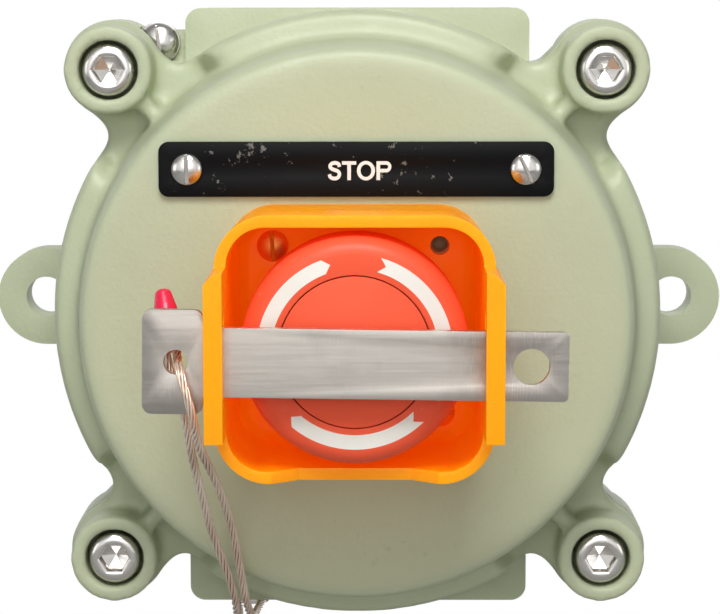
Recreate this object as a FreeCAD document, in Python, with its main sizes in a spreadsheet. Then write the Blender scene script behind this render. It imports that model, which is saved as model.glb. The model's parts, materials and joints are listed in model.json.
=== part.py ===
import FreeCAD, Part
import math
import os
import re

import Sketcher
from FreeCAD import Placement, Rotation, Vector

# Flameproof emergency stop station, in millimetres.
# Every piece is drawn as seen from the front: its own X runs to the right, its Y up and its Z
# straight out of the wall. STAND_UP turns that drawing so that the station faces -Y, with +Z up,
# its wall face at y = 0 and the button's axis through the origin.

DIMENSIONS = {
    # General: overlap of joined blocks, spare depth of blind holes
    "lap": 1.0,
    "hole_spare": 1.0,
    # Levels: distances out from the wall
    "floor_level": 6.0,
    "joint_level": 30.0,
    "web_level": 34.0,
    "ledge_level": 41.0,
    "lug_level": 43.0,
    "face_level": 57.0,
    # Cast body
    "bowl_r": 52.0,
    "bowl_inner_r": 44.0,
    "bowl_flange_back": 18.0,
    "flange_r": 59.0,
    "spigot_r": 47.9,
    "spigot_length": 4.5,
    "spigot_gap": 0.1,
    "spigot_relief": 2.0,
    "ear_x": 64.5,
    "ear_r": 9.9,
    "ear_hole_r": 4.1,
    "ear_thick": 8.0,
    "hub_half_width": 33.7,
    "hub_out": 0.2,
    "hub_foot": 36.0,
    "hub_back": 2.0,
    "hub_front": 28.0,
    "hub_corner": 3.0,
    "conduit_r": 9.25,
    "conduit_level": 15.6,
    # Lugs and cover screws
    "lug_outset": 8.175,
    "lug_r": 8.5,
    "lug_foot_r": 9.5,
    "web_inset": 0.5,
    "strip_inset": 6.0,
    "lug_notch": 3.5,
    "rib_width": 3.2,
    "screw_r": 3.0,
    "screw_head_r": 5.0,
    "screw_head_height": 6.0,
    "screw_reach": 10.0,
    "screw_clearance": 0.3,
    "thread_gap": 0.05,
    "counterbore_r": 5.75,
    "counterbore_depth": 7.6,
    "washer_thick": 1.2,
    # Cover
    "dome_inset": 4.4,
    "dome_lean": 2.6,
    "cover_wall": 6.0,
    "spigot_wall": 3.5,
    "face_round": 1.8,
    "edge_round": 1.2,
    "pocket_half_width": 12.8,
    "pocket_slope": 3.0,
    "pocket_round": 3.0,
    "seal_inset": 3.6,
    "seal_wire_r": 1.0,
    "seal_side_gap": 0.2,
    "seal_squeeze": 0.02,
    # Earth screws
    "earth_side": 8.5,
    "earth_rise": 5.0,
    "earth_web_rise": 7.4,
    "earth_level": 25.0,
    "earth_boss_r": 5.4,
    "earth_boss_back": 12.0,
    "earth_head_r": 3.9,
    "earth_head_height": 2.6,
    "earth_dome": 1.5,
    "earth_washer_r": 4.1,
    "earth_spotface_r": 4.6,
    "earth_shank_r": 2.0,
    "earth_reach": 8.0,
    "inner_earth_x": 30.0,
    "inner_earth_boss": 3.0,
    "inner_earth_bite": 1.0,
    # Legend plate
    "legend_half_width": 36.65,
    "legend_half_height": 5.1,
    "legend_thick": 1.0,
    "legend_y": 29.6,
    "legend_corner": 1.9,
    "legend_screw_x": 31.4,
    "small_head_r": 2.9,
    "small_head_height": 1.5,
    "small_shank_r": 1.5,
    "small_reach": 4.0,
    # Button guard
    "rim_level": 88.7,
    "rim_half_width": 24.6,
    "rim_half_height": 23.65,
    "guard_draft": 1.0,
    "guard_wall": 2.1,
    "guard_corner": 9.0,
    "guard_inner_round": 2.5,
    "guard_screw_gap": 0.1,
    "guard_hole_r": 1.8,
    "guard_relief_depth": 3.6,
    "guard_relief_half": 13.0,
    "guard_relief_slope": 3.0,
    "cheek_half_height": 14.7,
    "cheek_stand": 1.1,
    "cheek_front": 100.0,
    "cheek_back": 76.0,
    "cheek_chamfer": 2.0,
    # Lock bar
    "bar_level": 94.0,
    "bar_thick": 2.0,
    "bar_height": 12.0,
    "bar_y": -1.4,
    "bar_tilt": 0.8,
    "bar_end": 36.8,
    "bar_corner": 0.9,
    "tee_width": 10.5,
    "tee_height": 18.1,
    "tee_corner": 1.7,
    "tee_hole_r": 2.15,
    "tee_hole_in": 5.8,
    "padlock_hole_r": 3.15,
    "padlock_hole_in": 6.4,
    "bar_play": 0.3,
    "slot_play": 0.7,
    "slot_rise": 2.6,
    # Button
    "head_level": 91.0,
    "head_r": 20.0,
    "head_skirt": 14.0,
    "head_shell": 2.5,
    "head_crown": 6.0,
    "head_round": 3.0,
    "head_hub_r": 7.5,
    "cap_r": 13.5,
    "cap_thick": 2.0,
    "cap_gap": 0.25,
    "shaft_r": 5.0,
    "shaft_rear": 36.5,
    "shaft_flange_r": 7.6,
    "shaft_flange_thick": 1.5,
    "neck_r": 4.0,
    "neck_length": 5.0,
    "running_gap": 0.05,
    "clip_r": 7.0,
    "clip_thick": 1.0,
    "clip_groove": 0.8,
    "clip_gap": 0.1,
    # Bush
    "bush_r": 11.0,
    "bush_flange_r": 14.0,
    "bush_flange_thick": 3.0,
    "bush_collar_r": 10.5,
    "bush_front": 70.0,
    "bush_rear": 40.0,
    "bush_cup_r": 8.2,
    "bush_cup_depth": 8.0,
    "bush_gap": 0.1,
    "bush_seal_thick": 1.0,
    "nut_half_flat": 15.0,
    "nut_thick": 4.0,
    # Springs
    "spring_r": 6.6,
    "spring_wire_r": 0.6,
    "spring_turns": 5.0,
    "contact_spring_r": 2.2,
    "contact_spring_wire_r": 0.35,
    "contact_spring_turns": 4.0,
    # Contact block
    "block_half_width": 18.0,
    "block_half_height": 12.0,
    "block_back": 8.0,
    "block_front": 30.0,
    "block_base_thick": 2.0,
    "block_front_wall": 4.0,
    "block_cavity_half_width": 12.0,
    "block_cavity_half_height": 5.0,
    "block_boss_r": 4.5,
    "block_screw_y": 8.6,
    "block_screw_r": 1.6,
    "block_head_r": 2.8,
    "block_head_height": 1.6,
    "block_screw_bite": 3.0,
    "carrier_r": 2.5,
    "carrier_gap": 0.3,
    "bridge_level": 18.0,
    "bridge_thick": 1.2,
    "bridge_half_length": 10.0,
    "bridge_half_width": 2.4,
    "contact_inner_x": 5.0,
    "contact_half_width": 2.5,
    "contact_thick": 1.0,
    "terminal_x": 15.0,
    "terminal_r": 1.5,
    "terminal_head_r": 2.6,
    "terminal_head_height": 1.4,
    # Lanyard
    "rope_r": 0.8,
    "sleeve_foot_r": 2.1,
    "sleeve_tip_r": 1.3,
    "sleeve_length": 11.0,
    "sleeve_taper_from": 7.4,
    "sleeve_round": 0.9,
    "anchor_x": -22.0,
    "anchor_level": 12.6,
    "anchor_neck_r": 1.5,
    "anchor_neck": 2.6,
    "anchor_head_r": 3.4,
    "anchor_head": 1.2,
    "anchor_reach": 6.0,
}

# Lanyard route: x, y (up) and z (out of the wall), from the sleeve through the bar's hole, down
# in front of the cover, round the anchor screw's neck and back up behind the bar to the sleeve.
ROPE_POINTS = [
    (-30.99, 0.63, 90.62), (-30.59, -1.59, 91.61), (-30.2, -1.5, 97.3), (-26.9, -10.6, 98.8),
    (-26.7, -16.1, 86.0), (-25.4, -25.3, 75.0), (-24.0, -34.4, 66.5), (-21.8, -46.0, 60.4),
    (-21.1, -52.3, 56.5), (-20.4, -58.4, 47.0), (-20.5, -60.7, 33.0), (-19.3, -60.6, 20.2),
    (-19.5, -60.5, 10.2), (-24.5, -60.5, 10.2), (-24.6, -60.6, 20.2), (-23.5, -60.7, 33.0),
    (-23.3, -58.4, 47.0), (-22.9, -52.3, 56.5), (-24.5, -44.9, 61.2), (-26.0, -38.0, 66.5),
    (-27.6, -26.9, 76.0), (-28.7, -18.0, 85.0), (-29.2, -10.9, 90.4), (-32.07, -3.8, 92.4),
    (-32.81, 0.31, 90.62),
]
SLEEVE_FOOT = Vector(-31.9, 0.5, 90.6)
SLEEVE_LEAN = Vector(-0.16, 0.90, -0.405)

# Places that follow from the sizes above: each is a formula on a size and a named clearance.
LUG = "((flange_r + lug_outset) * cos(45 deg))"
HUB_TOP = "(flange_r + hub_out)"
DOME_FOOT = "(flange_r - dome_inset)"
FACE_R = "(flange_r - dome_inset - dome_lean)"
SPIGOT_BORE = "(spigot_r - spigot_wall)"
SEAL_R = "(spigot_r + seal_inset)"
GUARD_LEAN = "(rim_level - face_level) * tan(guard_draft * 1 deg)"
GUARD_SCREW = ("(rim_half_height - guard_wall - guard_inner_round - small_head_r - guard_screw_gap"
               f" - {GUARD_LEAN})")
EARTH_SPOT = (f"earth_side - {LUG}", f"{LUG} + earth_rise")

STAND_UP = Rotation(Vector(1, 0, 0), 90)
DIAGONAL = Rotation(Vector(0, 1, 0), 45)
TOLERANCE = 0.01
STRAIGHT_SHARE = 0.99
ARC_SHARE = 0.45
STEPS_PER_TURN = 12
MITRED = 1

doc = FreeCAD.newDocument("stop_station")
sizes = doc.addObject("Spreadsheet::Sheet", "sizes")
for row, (alias, value) in enumerate(DIMENSIONS.items(), start=1):
    sizes.set(f"A{row}", alias)
    sizes.set(f"B{row}", str(value))
    sizes.setAlias(f"B{row}", alias)
doc.recompute()

ALIAS_WORD = re.compile(r"\b(" + "|".join(DIMENSIONS) + r")\b")
SUB_PARTS = []


def formula(text):
    """An expression on the sheet's cells, from a formula in their plain names."""
    return ALIAS_WORD.sub(r"sizes.\1", str(text))


def worth(text):
    """The present value of such a formula."""
    return float(sizes.evalExpression(formula(text)))


def bind(thing, path, text):
    """Ties one property of an object to a formula."""
    thing.setExpression(path, formula(text))


def named(thing, label):
    """Registers an object as a sub-part and stands it up against the wall."""
    thing.Label = label
    thing.Placement = Placement(Vector(0, 0, 0), STAND_UP).multiply(thing.Placement)
    SUB_PARTS.append(thing)
    return thing


def new_body(label):
    """An empty body, stood up against the wall."""
    return named(doc.addObject("PartDesign::Body", label), label)


def plane_of(body, role):
    """One of a body's own origin planes or axes."""
    return next(item for item in body.Origin.OriginFeatures if item.Role == role)


def new_sketch(body, role="XY_Plane", shift=("0", "0", "0")):
    """A sketch on one of the body's origin planes, moved by three formulas."""
    sketch = body.newObject("Sketcher::SketchObject", body.Name + "_sketch")
    sketch.AttachmentSupport = (plane_of(body, role), [""])
    sketch.MapMode = "FlatFace"
    for axis, text in zip("xyz", shift):
        if text != "0":
            bind(sketch, f"AttachmentOffset.Base.{axis}", text)
    return sketch


def at_level(text):
    """The sketch shift that lifts a plan drawing to a distance from the wall."""
    return ("0", "0", text)


def pin_point(sketch, geometry, point, spot):
    """Ties one point of a sketch to a pair of formulas."""
    for kind, text in zip(("DistanceX", "DistanceY"), spot):
        index = sketch.addConstraint(Sketcher.Constraint(kind, -1, 1, geometry, point, worth(text)))
        bind(sketch, f"Constraints[{index}]", text)


def add_polygon(sketch, spots):
    """A closed outline of straight edges, each corner tied to its formulas."""
    corners = [Vector(worth(x), worth(y), 0) for x, y in spots]
    first = sketch.GeometryCount
    for start, end in zip(corners, corners[1:] + corners[:1]):
        sketch.addGeometry(Part.LineSegment(start, end), False)
    count = len(corners)
    for step in range(count):
        follower = first + (step + 1) % count
        sketch.addConstraint(Sketcher.Constraint("Coincident", first + step, 2, follower, 1))
        pin_point(sketch, first + step, 1, spots[step])


def add_rectangle(sketch, left, bottom, right, top):
    """A rectangle between four formulas."""
    add_polygon(sketch, [(left, bottom), (right, bottom), (right, top), (left, top)])


def add_rounded_rectangle(sketch, half_width, half_height, radius):
    """A centred rectangle with four tangent corner arcs."""
    wide, tall, round_r = worth(half_width), worth(half_height), worth(radius)
    first = sketch.GeometryCount
    for quarter, (right, up) in enumerate(((1, 1), (-1, 1), (-1, -1), (1, -1))):
        centre = Vector(right * (wide - round_r), up * (tall - round_r), 0)
        circle = Part.Circle(centre, Vector(0, 0, 1), round_r)
        start = quarter * math.pi / 2
        sketch.addGeometry(Part.ArcOfCircle(circle, start, start + math.pi / 2), False)
    for quarter in range(4):
        leave = sketch.Geometry[first + quarter].EndPoint
        arrive = sketch.Geometry[first + (quarter + 1) % 4].StartPoint
        sketch.addGeometry(Part.LineSegment(leave, arrive), False)
    for quarter, (right, up) in enumerate((("", ""), ("-", ""), ("-", "-"), ("", "-"))):
        arc, line = first + quarter, first + 4 + quarter
        following = first + (quarter + 1) % 4
        sketch.addConstraint(Sketcher.Constraint("Tangent", arc, 2, line, 1))
        sketch.addConstraint(Sketcher.Constraint("Tangent", line, 2, following, 1))
        across, along = f"({half_width} - ({radius}))", f"({half_height} - ({radius}))"
        pin_point(sketch, arc, 3, (right + across, up + along))
        index = sketch.addConstraint(Sketcher.Constraint("Radius", arc, round_r))
        bind(sketch, f"Constraints[{index}]", radius)


def add_circle(sketch, spot, radius):
    """A circle whose centre and radius are tied to formulas."""
    centre = Vector(worth(spot[0]), worth(spot[1]), 0)
    index = sketch.addGeometry(Part.Circle(centre, Vector(0, 0, 1), worth(radius)), False)
    pin_point(sketch, index, 3, spot)
    radius_index = sketch.addConstraint(Sketcher.Constraint("Radius", index, worth(radius)))
    bind(sketch, f"Constraints[{radius_index}]", radius)


def pad(body, sketch, length, taper=None):
    """Adds a straight pad out of the wall."""
    feature = body.newObject("PartDesign::Pad", body.Name + "_pad")
    feature.Profile = sketch
    bind(feature, "Length", length)
    if taper:
        bind(feature, "TaperAngle", taper)
    doc.recompute()
    return feature


def pocket(body, sketch, depth=None, outwards=False, both_ways=False, taper=None):
    """Cuts a pocket back towards the wall, outwards, or right through both ways."""
    before = body.Shape.Volume
    feature = body.newObject("PartDesign::Pocket", body.Name + "_pocket")
    feature.Profile = sketch
    feature.Reversed = outwards
    if both_ways:
        feature.Midplane = True
    if depth is None:
        feature.Type = "ThroughAll"
    else:
        bind(feature, "Length", depth)
    if taper:
        bind(feature, "TaperAngle", taper)
    doc.recompute()
    if not body.Shape.Volume < before:
        raise RuntimeError(f"{body.Label}: a pocket cuts nothing")
    return feature


def turn(body, sketch, kind="Revolution"):
    """Revolves a profile all round the sketch's upright axis, as solid or as a cut."""
    before = body.Shape.Volume if kind == "Groove" else 0.0
    feature = body.newObject("PartDesign::" + kind, f"{body.Name}_{kind.lower()}")
    feature.Profile = sketch
    feature.ReferenceAxis = (sketch, ["V_Axis"])
    feature.Angle = 360
    doc.recompute()
    if kind == "Groove" and not body.Shape.Volume < before:
        raise RuntimeError(f"{body.Label}: a groove cuts nothing")
    return feature


def repeat_round(body, features, count):
    """Repeats features about the button's axis."""
    pattern = body.newObject("PartDesign::PolarPattern", body.Name + "_ring")
    pattern.Originals = features
    pattern.Axis = (plane_of(body, "Z_Axis"), [""])
    pattern.Angle = 360
    pattern.Occurrences = count
    body.Tip = pattern
    doc.recompute()
    return pattern


def mirror_across(body, features):
    """Mirrors features from one side of the button's axis to the other."""
    pattern = body.newObject("PartDesign::Mirrored", body.Name + "_mirror")
    pattern.Originals = features
    pattern.MirrorPlane = (plane_of(body, "YZ_Plane"), [""])
    body.Tip = pattern
    doc.recompute()
    return pattern


def soften(body, radius, chosen, kind="Fillet"):
    """Rounds or chamfers the edges of the body's last feature that a test chooses."""
    base = body.Tip
    edges = [f"Edge{i}" for i, edge in enumerate(base.Shape.Edges, start=1) if chosen(edge)]
    if not edges:
        raise RuntimeError(f"{body.Label}: no edge to soften")
    feature = body.newObject("PartDesign::" + kind, f"{body.Name}_{kind.lower()}")
    feature.Base = (base, edges)
    bind(feature, "Radius" if kind == "Fillet" else "Size", radius)
    body.Tip = feature
    doc.recompute()
    return feature


def near(value, text):
    """True where a measure agrees with a formula."""
    return abs(value - worth(text)) < TOLERANCE


def middle(edge):
    """The point half way along an edge."""
    return edge.valueAt((edge.FirstParameter + edge.LastParameter) / 2)


def is_ring(edge, radius, level):
    """True for an arc about the button's axis with this radius, at this level."""
    if not isinstance(edge.Curve, Part.Circle):
        return False
    centre = edge.Curve.Center
    about_axis = math.hypot(centre.x, centre.y) < TOLERANCE
    return about_axis and near(edge.Curve.Radius, radius) and near(centre.z, level)


def runs_outwards(edge):
    """True for a straight edge that points out of the wall, or nearly so."""
    if len(edge.Vertexes) < 2 or isinstance(edge.Curve, Part.Circle):
        return False
    span = edge.Vertexes[1].Point - edge.Vertexes[0].Point
    return abs(span.z) > STRAIGHT_SHARE * span.Length


def turned_piece(label, outline, shift=("0", "0")):
    """A body revolved from one outline of (radius, level) about an axis at shift (x, y)."""
    body = new_body(label)
    sketch = new_sketch(body, "XZ_Plane", (shift[0], "0", f"-({shift[1]})"))
    add_polygon(sketch, outline)
    turn(body, sketch)
    return body


def screw_outline(head_r, head_height, shank_r, seat, reach):
    """Half section of a screw whose head sits on a level and whose shank reaches behind it."""
    return [
        ("0", f"{seat} - {reach}"), (shank_r, f"{seat} - {reach}"), (shank_r, seat),
        (head_r, seat), (head_r, f"{seat} + {head_height}"), ("0", f"{seat} + {head_height}"),
    ]


def ring_outline(inner, outer, back, front):
    """Half section of a flat ring."""
    return [(inner, back), (outer, back), (outer, front), (inner, front)]


def lug_spot():
    """The centre of the first lug."""
    return (LUG, LUG)


def add_lug_strip(body, half_width, back, front):
    """A diagonal strip from the flange to the first lug's centre."""
    root = "(flange_r - strip_inset) * cos(45 deg)"
    side = f"({half_width}) * cos(45 deg)"
    sketch = new_sketch(body, shift=at_level(back))
    add_polygon(sketch, [
        (f"{root} - {side}", f"{root} + {side}"),
        (f"{root} + {side}", f"{root} - {side}"),
        (f"{LUG} + {side}", f"{LUG} - {side}"),
        (f"{LUG} - {side}", f"{LUG} + {side}"),
    ])
    return pad(body, sketch, f"{front} - {back}")


def add_disc(body, spot, radius, back, front):
    """A round boss between two levels."""
    sketch = new_sketch(body, shift=at_level(back))
    add_circle(sketch, spot, radius)
    return pad(body, sketch, f"{front} - ({back})")


def add_block(body, box, back, front):
    """A block drawn as (left, bottom, right, top) between two levels."""
    sketch = new_sketch(body, shift=at_level(back))
    add_rectangle(sketch, *box)
    return pad(body, sketch, f"{front} - ({back})")


def cut_hole(body, spot, radius, mouth, depth=None, outwards=False):
    """A round hole from a level back towards the wall, or outwards."""
    sketch = new_sketch(body, shift=at_level(mouth))
    add_circle(sketch, spot, radius)
    return pocket(body, sketch, depth, outwards)


def notch_edges(edge):
    """The inner corners where a lug's strip leaves the round flange."""
    if not runs_outwards(edge):
        return False
    spot = middle(edge)
    off_axes = min(abs(spot.x), abs(spot.y)) > worth("lug_r")
    on_flange = near(math.hypot(spot.x, spot.y), "flange_r")
    return on_flange and off_axes and spot.z < worth("web_level")


def make_enclosure_body():
    """Cast bowl with lugs, wall ears and two conduit hubs, hollowed in one turned cut."""
    body = new_body("enclosure_body")
    outside = new_sketch(body, "XZ_Plane")
    add_polygon(outside, [
        ("0", "0"), ("bowl_r", "0"), ("bowl_r", "bowl_flange_back"),
        ("flange_r", "bowl_flange_back"), ("flange_r", "joint_level"), ("0", "joint_level"),
    ])
    turn(body, outside)
    strip = add_lug_strip(body, "lug_foot_r - web_inset", "bowl_flange_back", "joint_level")
    boss = add_disc(body, lug_spot(), "lug_foot_r", "bowl_flange_back", "joint_level")
    repeat_round(body, [strip, boss], 4)
    soften(body, "lug_notch", notch_edges)
    ear_end = add_disc(body, ("ear_x", "0"), "ear_r", "0", "ear_thick")
    ear_box = ("bowl_inner_r", "-ear_r", "ear_x", "ear_r")
    ear_strip = add_block(body, ear_box, "0", "ear_thick")
    hub_box = ("-hub_half_width", "hub_foot", "hub_half_width", HUB_TOP)
    repeat_round(body, [ear_end, ear_strip], 2)
    hub = add_block(body, hub_box, "hub_back", "hub_front")
    repeat_round(body, [hub], 2)
    soften(body, "hub_corner", hub_corner_edges)
    earth_web = (f"-{LUG}", f"{LUG} - lug_r", "-hub_half_width + lap", f"{LUG} + earth_web_rise")
    add_block(body, earth_web, "earth_boss_back", "earth_level")
    cavity = new_sketch(body, "XZ_Plane")
    add_polygon(cavity, [
        ("0", "floor_level"), ("bowl_inner_r", "floor_level"),
        ("bowl_inner_r", "joint_level - spigot_length - spigot_relief"),
        ("spigot_r + spigot_gap", "joint_level - spigot_length - spigot_relief"),
        ("spigot_r + spigot_gap", "joint_level"), ("0", "joint_level"),
    ])
    turn(body, cavity, "Groove")
    block_boss = add_disc(body, ("0", "block_screw_y"), "block_boss_r", "floor_level - lap", "block_back")
    repeat_round(body, [block_boss], 2)
    add_disc(body, ("inner_earth_x", "0"), "earth_boss_r", "floor_level - lap",
             "floor_level + inner_earth_boss")
    conduit = new_sketch(body, "XZ_Plane")
    add_circle(conduit, ("0", "conduit_level"), "conduit_r")
    pocket(body, conduit, both_ways=True)
    thread = cut_hole(body, lug_spot(), "screw_r + thread_gap", "joint_level", "screw_reach + hole_spare")
    repeat_round(body, [thread], 4)
    ear_hole = cut_hole(body, ("ear_x", "0"), "ear_hole_r", "ear_thick")
    repeat_round(body, [ear_hole], 2)
    seat = cut_hole(body, ("0", "block_screw_y"), "block_screw_r + thread_gap", "block_back",
                    "block_screw_bite + hole_spare")
    repeat_round(body, [seat], 2)
    earth_hole = "earth_shank_r + thread_gap"
    cut_hole(body, EARTH_SPOT, "earth_spotface_r", "joint_level", "joint_level - earth_level")
    cut_hole(body, EARTH_SPOT, earth_hole, "earth_level", "earth_reach + hole_spare")
    cut_hole(body, ("inner_earth_x", "0"), earth_hole, "floor_level + inner_earth_boss",
             "inner_earth_boss + inner_earth_bite + hole_spare")
    anchor = new_sketch(body, "XZ_Plane", ("0", "0", HUB_TOP))
    add_circle(anchor, ("anchor_x", "anchor_level"), "anchor_neck_r + thread_gap")
    pocket(body, anchor, "anchor_reach + hole_spare")
    groove = new_sketch(body, "XZ_Plane")
    half_groove = "(seal_wire_r + seal_side_gap)"
    add_polygon(groove, ring_outline(f"{SEAL_R} - {half_groove}", f"{SEAL_R} + {half_groove}",
                                     "joint_level - 2 * seal_wire_r", "joint_level"))
    turn(body, groove, "Groove")
    return body


def hub_corner_edges(edge):
    """The four outer corners of the two conduit hubs."""
    spot = middle(edge)
    return runs_outwards(edge) and near(abs(spot.x), "hub_half_width") and near(abs(spot.y), HUB_TOP)


def pocket_edges(edge):
    """The edges where the ledge turns down into its pockets."""
    return isinstance(edge.Curve, Part.Line) and near(middle(edge).z, "ledge_level")


def make_cover():
    """Stepped round cover: a ledge with a sloping pocket at each lug, the domed face and spigot
    turned over it, then the ribbed and counterbored lugs and the button's bore."""
    body = new_body("cover")
    rim = new_sketch(body, "XZ_Plane")
    add_polygon(rim, [
        (f"{SPIGOT_BORE} + lap", "joint_level"), ("flange_r", "joint_level"),
        ("flange_r", "ledge_level - edge_round"), ("flange_r - edge_round", "ledge_level"),
        (f"{SPIGOT_BORE} + lap", "ledge_level"),
    ])
    turn(body, rim)
    dip = new_sketch(body, "XZ_Plane")
    dip.AttachmentOffset = Placement(Vector(0, 0, 0), DIAGONAL)
    rise = "(ledge_level - web_level)"
    spread = f"(pocket_half_width + pocket_slope * ({rise} + lap) / {rise})"
    add_polygon(dip, [
        ("-pocket_half_width", "web_level"), ("pocket_half_width", "web_level"),
        (spread, "ledge_level + lap"), (f"-{spread}", "ledge_level + lap"),
    ])
    repeat_round(body, [pocket(body, dip)], 4)
    soften(body, "pocket_round", pocket_edges)
    section = new_sketch(body, "XZ_Plane")
    bore = "bush_r + bush_gap"
    add_polygon(section, [
        (bore, "face_level"), (FACE_R, "face_level"), (DOME_FOOT, "web_level"),
        (DOME_FOOT, "joint_level"), ("spigot_r", "joint_level"),
        ("spigot_r", "joint_level - spigot_length"), (SPIGOT_BORE, "joint_level - spigot_length"),
        (SPIGOT_BORE, "face_level - cover_wall"), (bore, "face_level - cover_wall"),
    ])
    turn(body, section)
    soften(body, "face_round", lambda edge: is_ring(edge, FACE_R, "face_level"))
    strip = add_lug_strip(body, "lug_foot_r - web_inset", "joint_level", "web_level")
    foot = add_disc(body, lug_spot(), "lug_foot_r", "joint_level", "web_level")
    boss = add_disc(body, lug_spot(), "lug_r", "joint_level", "lug_level")
    rib = add_lug_strip(body, "rib_width / 2", "joint_level", "ledge_level")
    repeat_round(body, [strip, foot, boss, rib], 4)
    soften(body, "lug_notch", notch_edges)
    mouth = cut_hole(body, lug_spot(), "counterbore_r", "lug_level", "counterbore_depth")
    through = cut_hole(body, lug_spot(), "screw_r + screw_clearance", "lug_level")
    repeat_round(body, [mouth, through], 4)
    legend_hole = cut_hole(body, ("legend_screw_x", "legend_y"), "small_shank_r + thread_gap",
                           "face_level", "small_reach + hole_spare")
    mirror_across(body, [legend_hole])
    guard_hole = cut_hole(body, (GUARD_SCREW, GUARD_SCREW), "small_shank_r + thread_gap",
                          "face_level", "small_reach + hole_spare")
    repeat_round(body, [guard_hole], 4)
    return body


def make_cover_seal():
    """O-ring in the groove of the body's joint face."""
    ring = doc.addObject("Part::Torus", "cover_seal")
    bind(ring, "Radius1", SEAL_R)
    bind(ring, "Radius2", "seal_wire_r - seal_squeeze")
    bind(ring, "Placement.Base.y", "-(joint_level - seal_wire_r)")
    ring.Placement = Placement(ring.Placement.Base, STAND_UP)
    ring.Label = "cover_seal"
    SUB_PARTS.append(ring)


def make_cover_screws():
    """Four socket-head screws and their washers, in the lugs' counterbores."""
    seat = "(lug_level - counterbore_depth + washer_thick)"
    screws = turned_piece("cover_screws", screw_outline(
        "screw_head_r", "screw_head_height", "screw_r", seat,
        "(lug_level - counterbore_depth + washer_thick - joint_level + screw_reach)"), lug_spot())
    repeat_round(screws, [screws.Tip], 4)
    washers = turned_piece("cover_screw_washers", ring_outline(
        "screw_r + screw_clearance", "screw_head_r", "lug_level - counterbore_depth", seat), lug_spot())
    repeat_round(washers, [washers.Tip], 4)


def make_earth_screws():
    """Outer earth screw with its cupped washer, and the plain one inside the body."""
    turned_piece("earth_washer", ring_outline(
        "earth_shank_r + screw_clearance", "earth_washer_r", "earth_level",
        "earth_level + washer_thick"), EARTH_SPOT)
    seat = "(earth_level + washer_thick)"
    outer = turned_piece("earth_screw", screw_outline(
        "earth_head_r", "earth_head_height", "earth_shank_r", seat,
        "(earth_reach + washer_thick)"), EARTH_SPOT)
    soften(outer, "earth_dome", lambda edge: near(
        middle(edge).z, "earth_level + washer_thick + earth_head_height"))
    turned_piece("inner_earth_screw", screw_outline(
        "earth_head_r", "earth_head_height", "earth_shank_r", "(floor_level + inner_earth_boss)",
        "(inner_earth_boss + inner_earth_bite)"), ("inner_earth_x", "0"))


def make_legend_plate():
    """Flat plate with rounded corners above the button, and its two round-head screws."""
    plate = new_body("legend_plate")
    box = ("-legend_half_width", "legend_y - legend_half_height", "legend_half_width",
           "legend_y + legend_half_height")
    add_block(plate, box, "face_level", "face_level + legend_thick")
    soften(plate, "legend_corner", runs_outwards)
    hole = cut_hole(plate, ("legend_screw_x", "legend_y"), "small_shank_r + screw_clearance",
                    "face_level + legend_thick")
    mirror_across(plate, [hole])
    screws = turned_piece("legend_plate_screws", screw_outline(
        "small_head_r", "small_head_height", "small_shank_r", "(face_level + legend_thick)",
        "(small_reach + legend_thick)"), ("legend_screw_x", "legend_y"))
    mirror_across(screws, [screws.Tip])


def make_button_guard():
    """Moulded open shroud with draft on an even wall, and slotted cheeks for the bar."""
    body = new_body("button_guard")
    foot = new_sketch(body, shift=at_level("face_level"))
    add_rounded_rectangle(foot, f"(rim_half_width - {GUARD_LEAN})", f"(rim_half_height - {GUARD_LEAN})",
                          "guard_corner")
    pad(body, foot, "rim_level - face_level", "guard_draft")
    inside = new_sketch(body, shift=at_level("rim_level"))
    inner_width = "(rim_half_width - guard_wall)"
    inner_height = "(rim_half_height - guard_wall)"
    add_rounded_rectangle(inside, inner_width, inner_height, "guard_corner - guard_wall")
    pocket(body, inside, "rim_level - face_level - guard_wall", taper="-guard_draft")
    soften(body, "guard_inner_round", lambda edge: near(middle(edge).z, "face_level + guard_wall"))
    cheek = new_sketch(body, shift=at_level("cheek_back"))
    outer = "(rim_half_width + cheek_stand)"
    add_polygon(cheek, [
        (inner_width, "-cheek_half_height"), (outer, "-cheek_half_height"),
        (outer, "cheek_half_height - cheek_chamfer"),
        (f"{outer} - cheek_chamfer", "cheek_half_height"), (inner_width, "cheek_half_height"),
    ])
    mirror_across(body, [pad(body, cheek, "cheek_front - cheek_back")])
    slot = new_sketch(body, "YZ_Plane")
    add_rectangle(slot, "bar_y - bar_height / 2 - slot_play", "bar_level - slot_play",
                  "bar_y + bar_height / 2 + slot_rise", "bar_level + bar_thick + slot_play")
    pocket(body, slot, both_ways=True)
    relief = new_sketch(body, "XZ_Plane", ("0", "0", "rim_half_height - guard_wall * 2"))
    add_polygon(relief, [
        ("-guard_relief_half + guard_relief_slope", "rim_level - guard_relief_depth"),
        ("guard_relief_half - guard_relief_slope", "rim_level - guard_relief_depth"),
        ("guard_relief_half + guard_relief_slope", "rim_level + lap"),
        ("-guard_relief_half - guard_relief_slope", "rim_level + lap"),
    ])
    pocket(body, relief, "guard_wall * 4", outwards=True)
    fixing = cut_hole(body, (GUARD_SCREW, GUARD_SCREW), "guard_hole_r", "face_level + guard_wall")
    repeat_round(body, [fixing], 4)
    cut_hole(body, ("0", "0"), "bush_flange_r + bush_gap", "face_level + guard_wall")
    screws = turned_piece("guard_screws", screw_outline(
        "small_head_r", "small_head_height", "small_shank_r", "(face_level + guard_wall)",
        "(small_reach + guard_wall)"), (f"-{GUARD_SCREW}", GUARD_SCREW))
    repeat_round(screws, [screws.Tip], 2)


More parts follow.
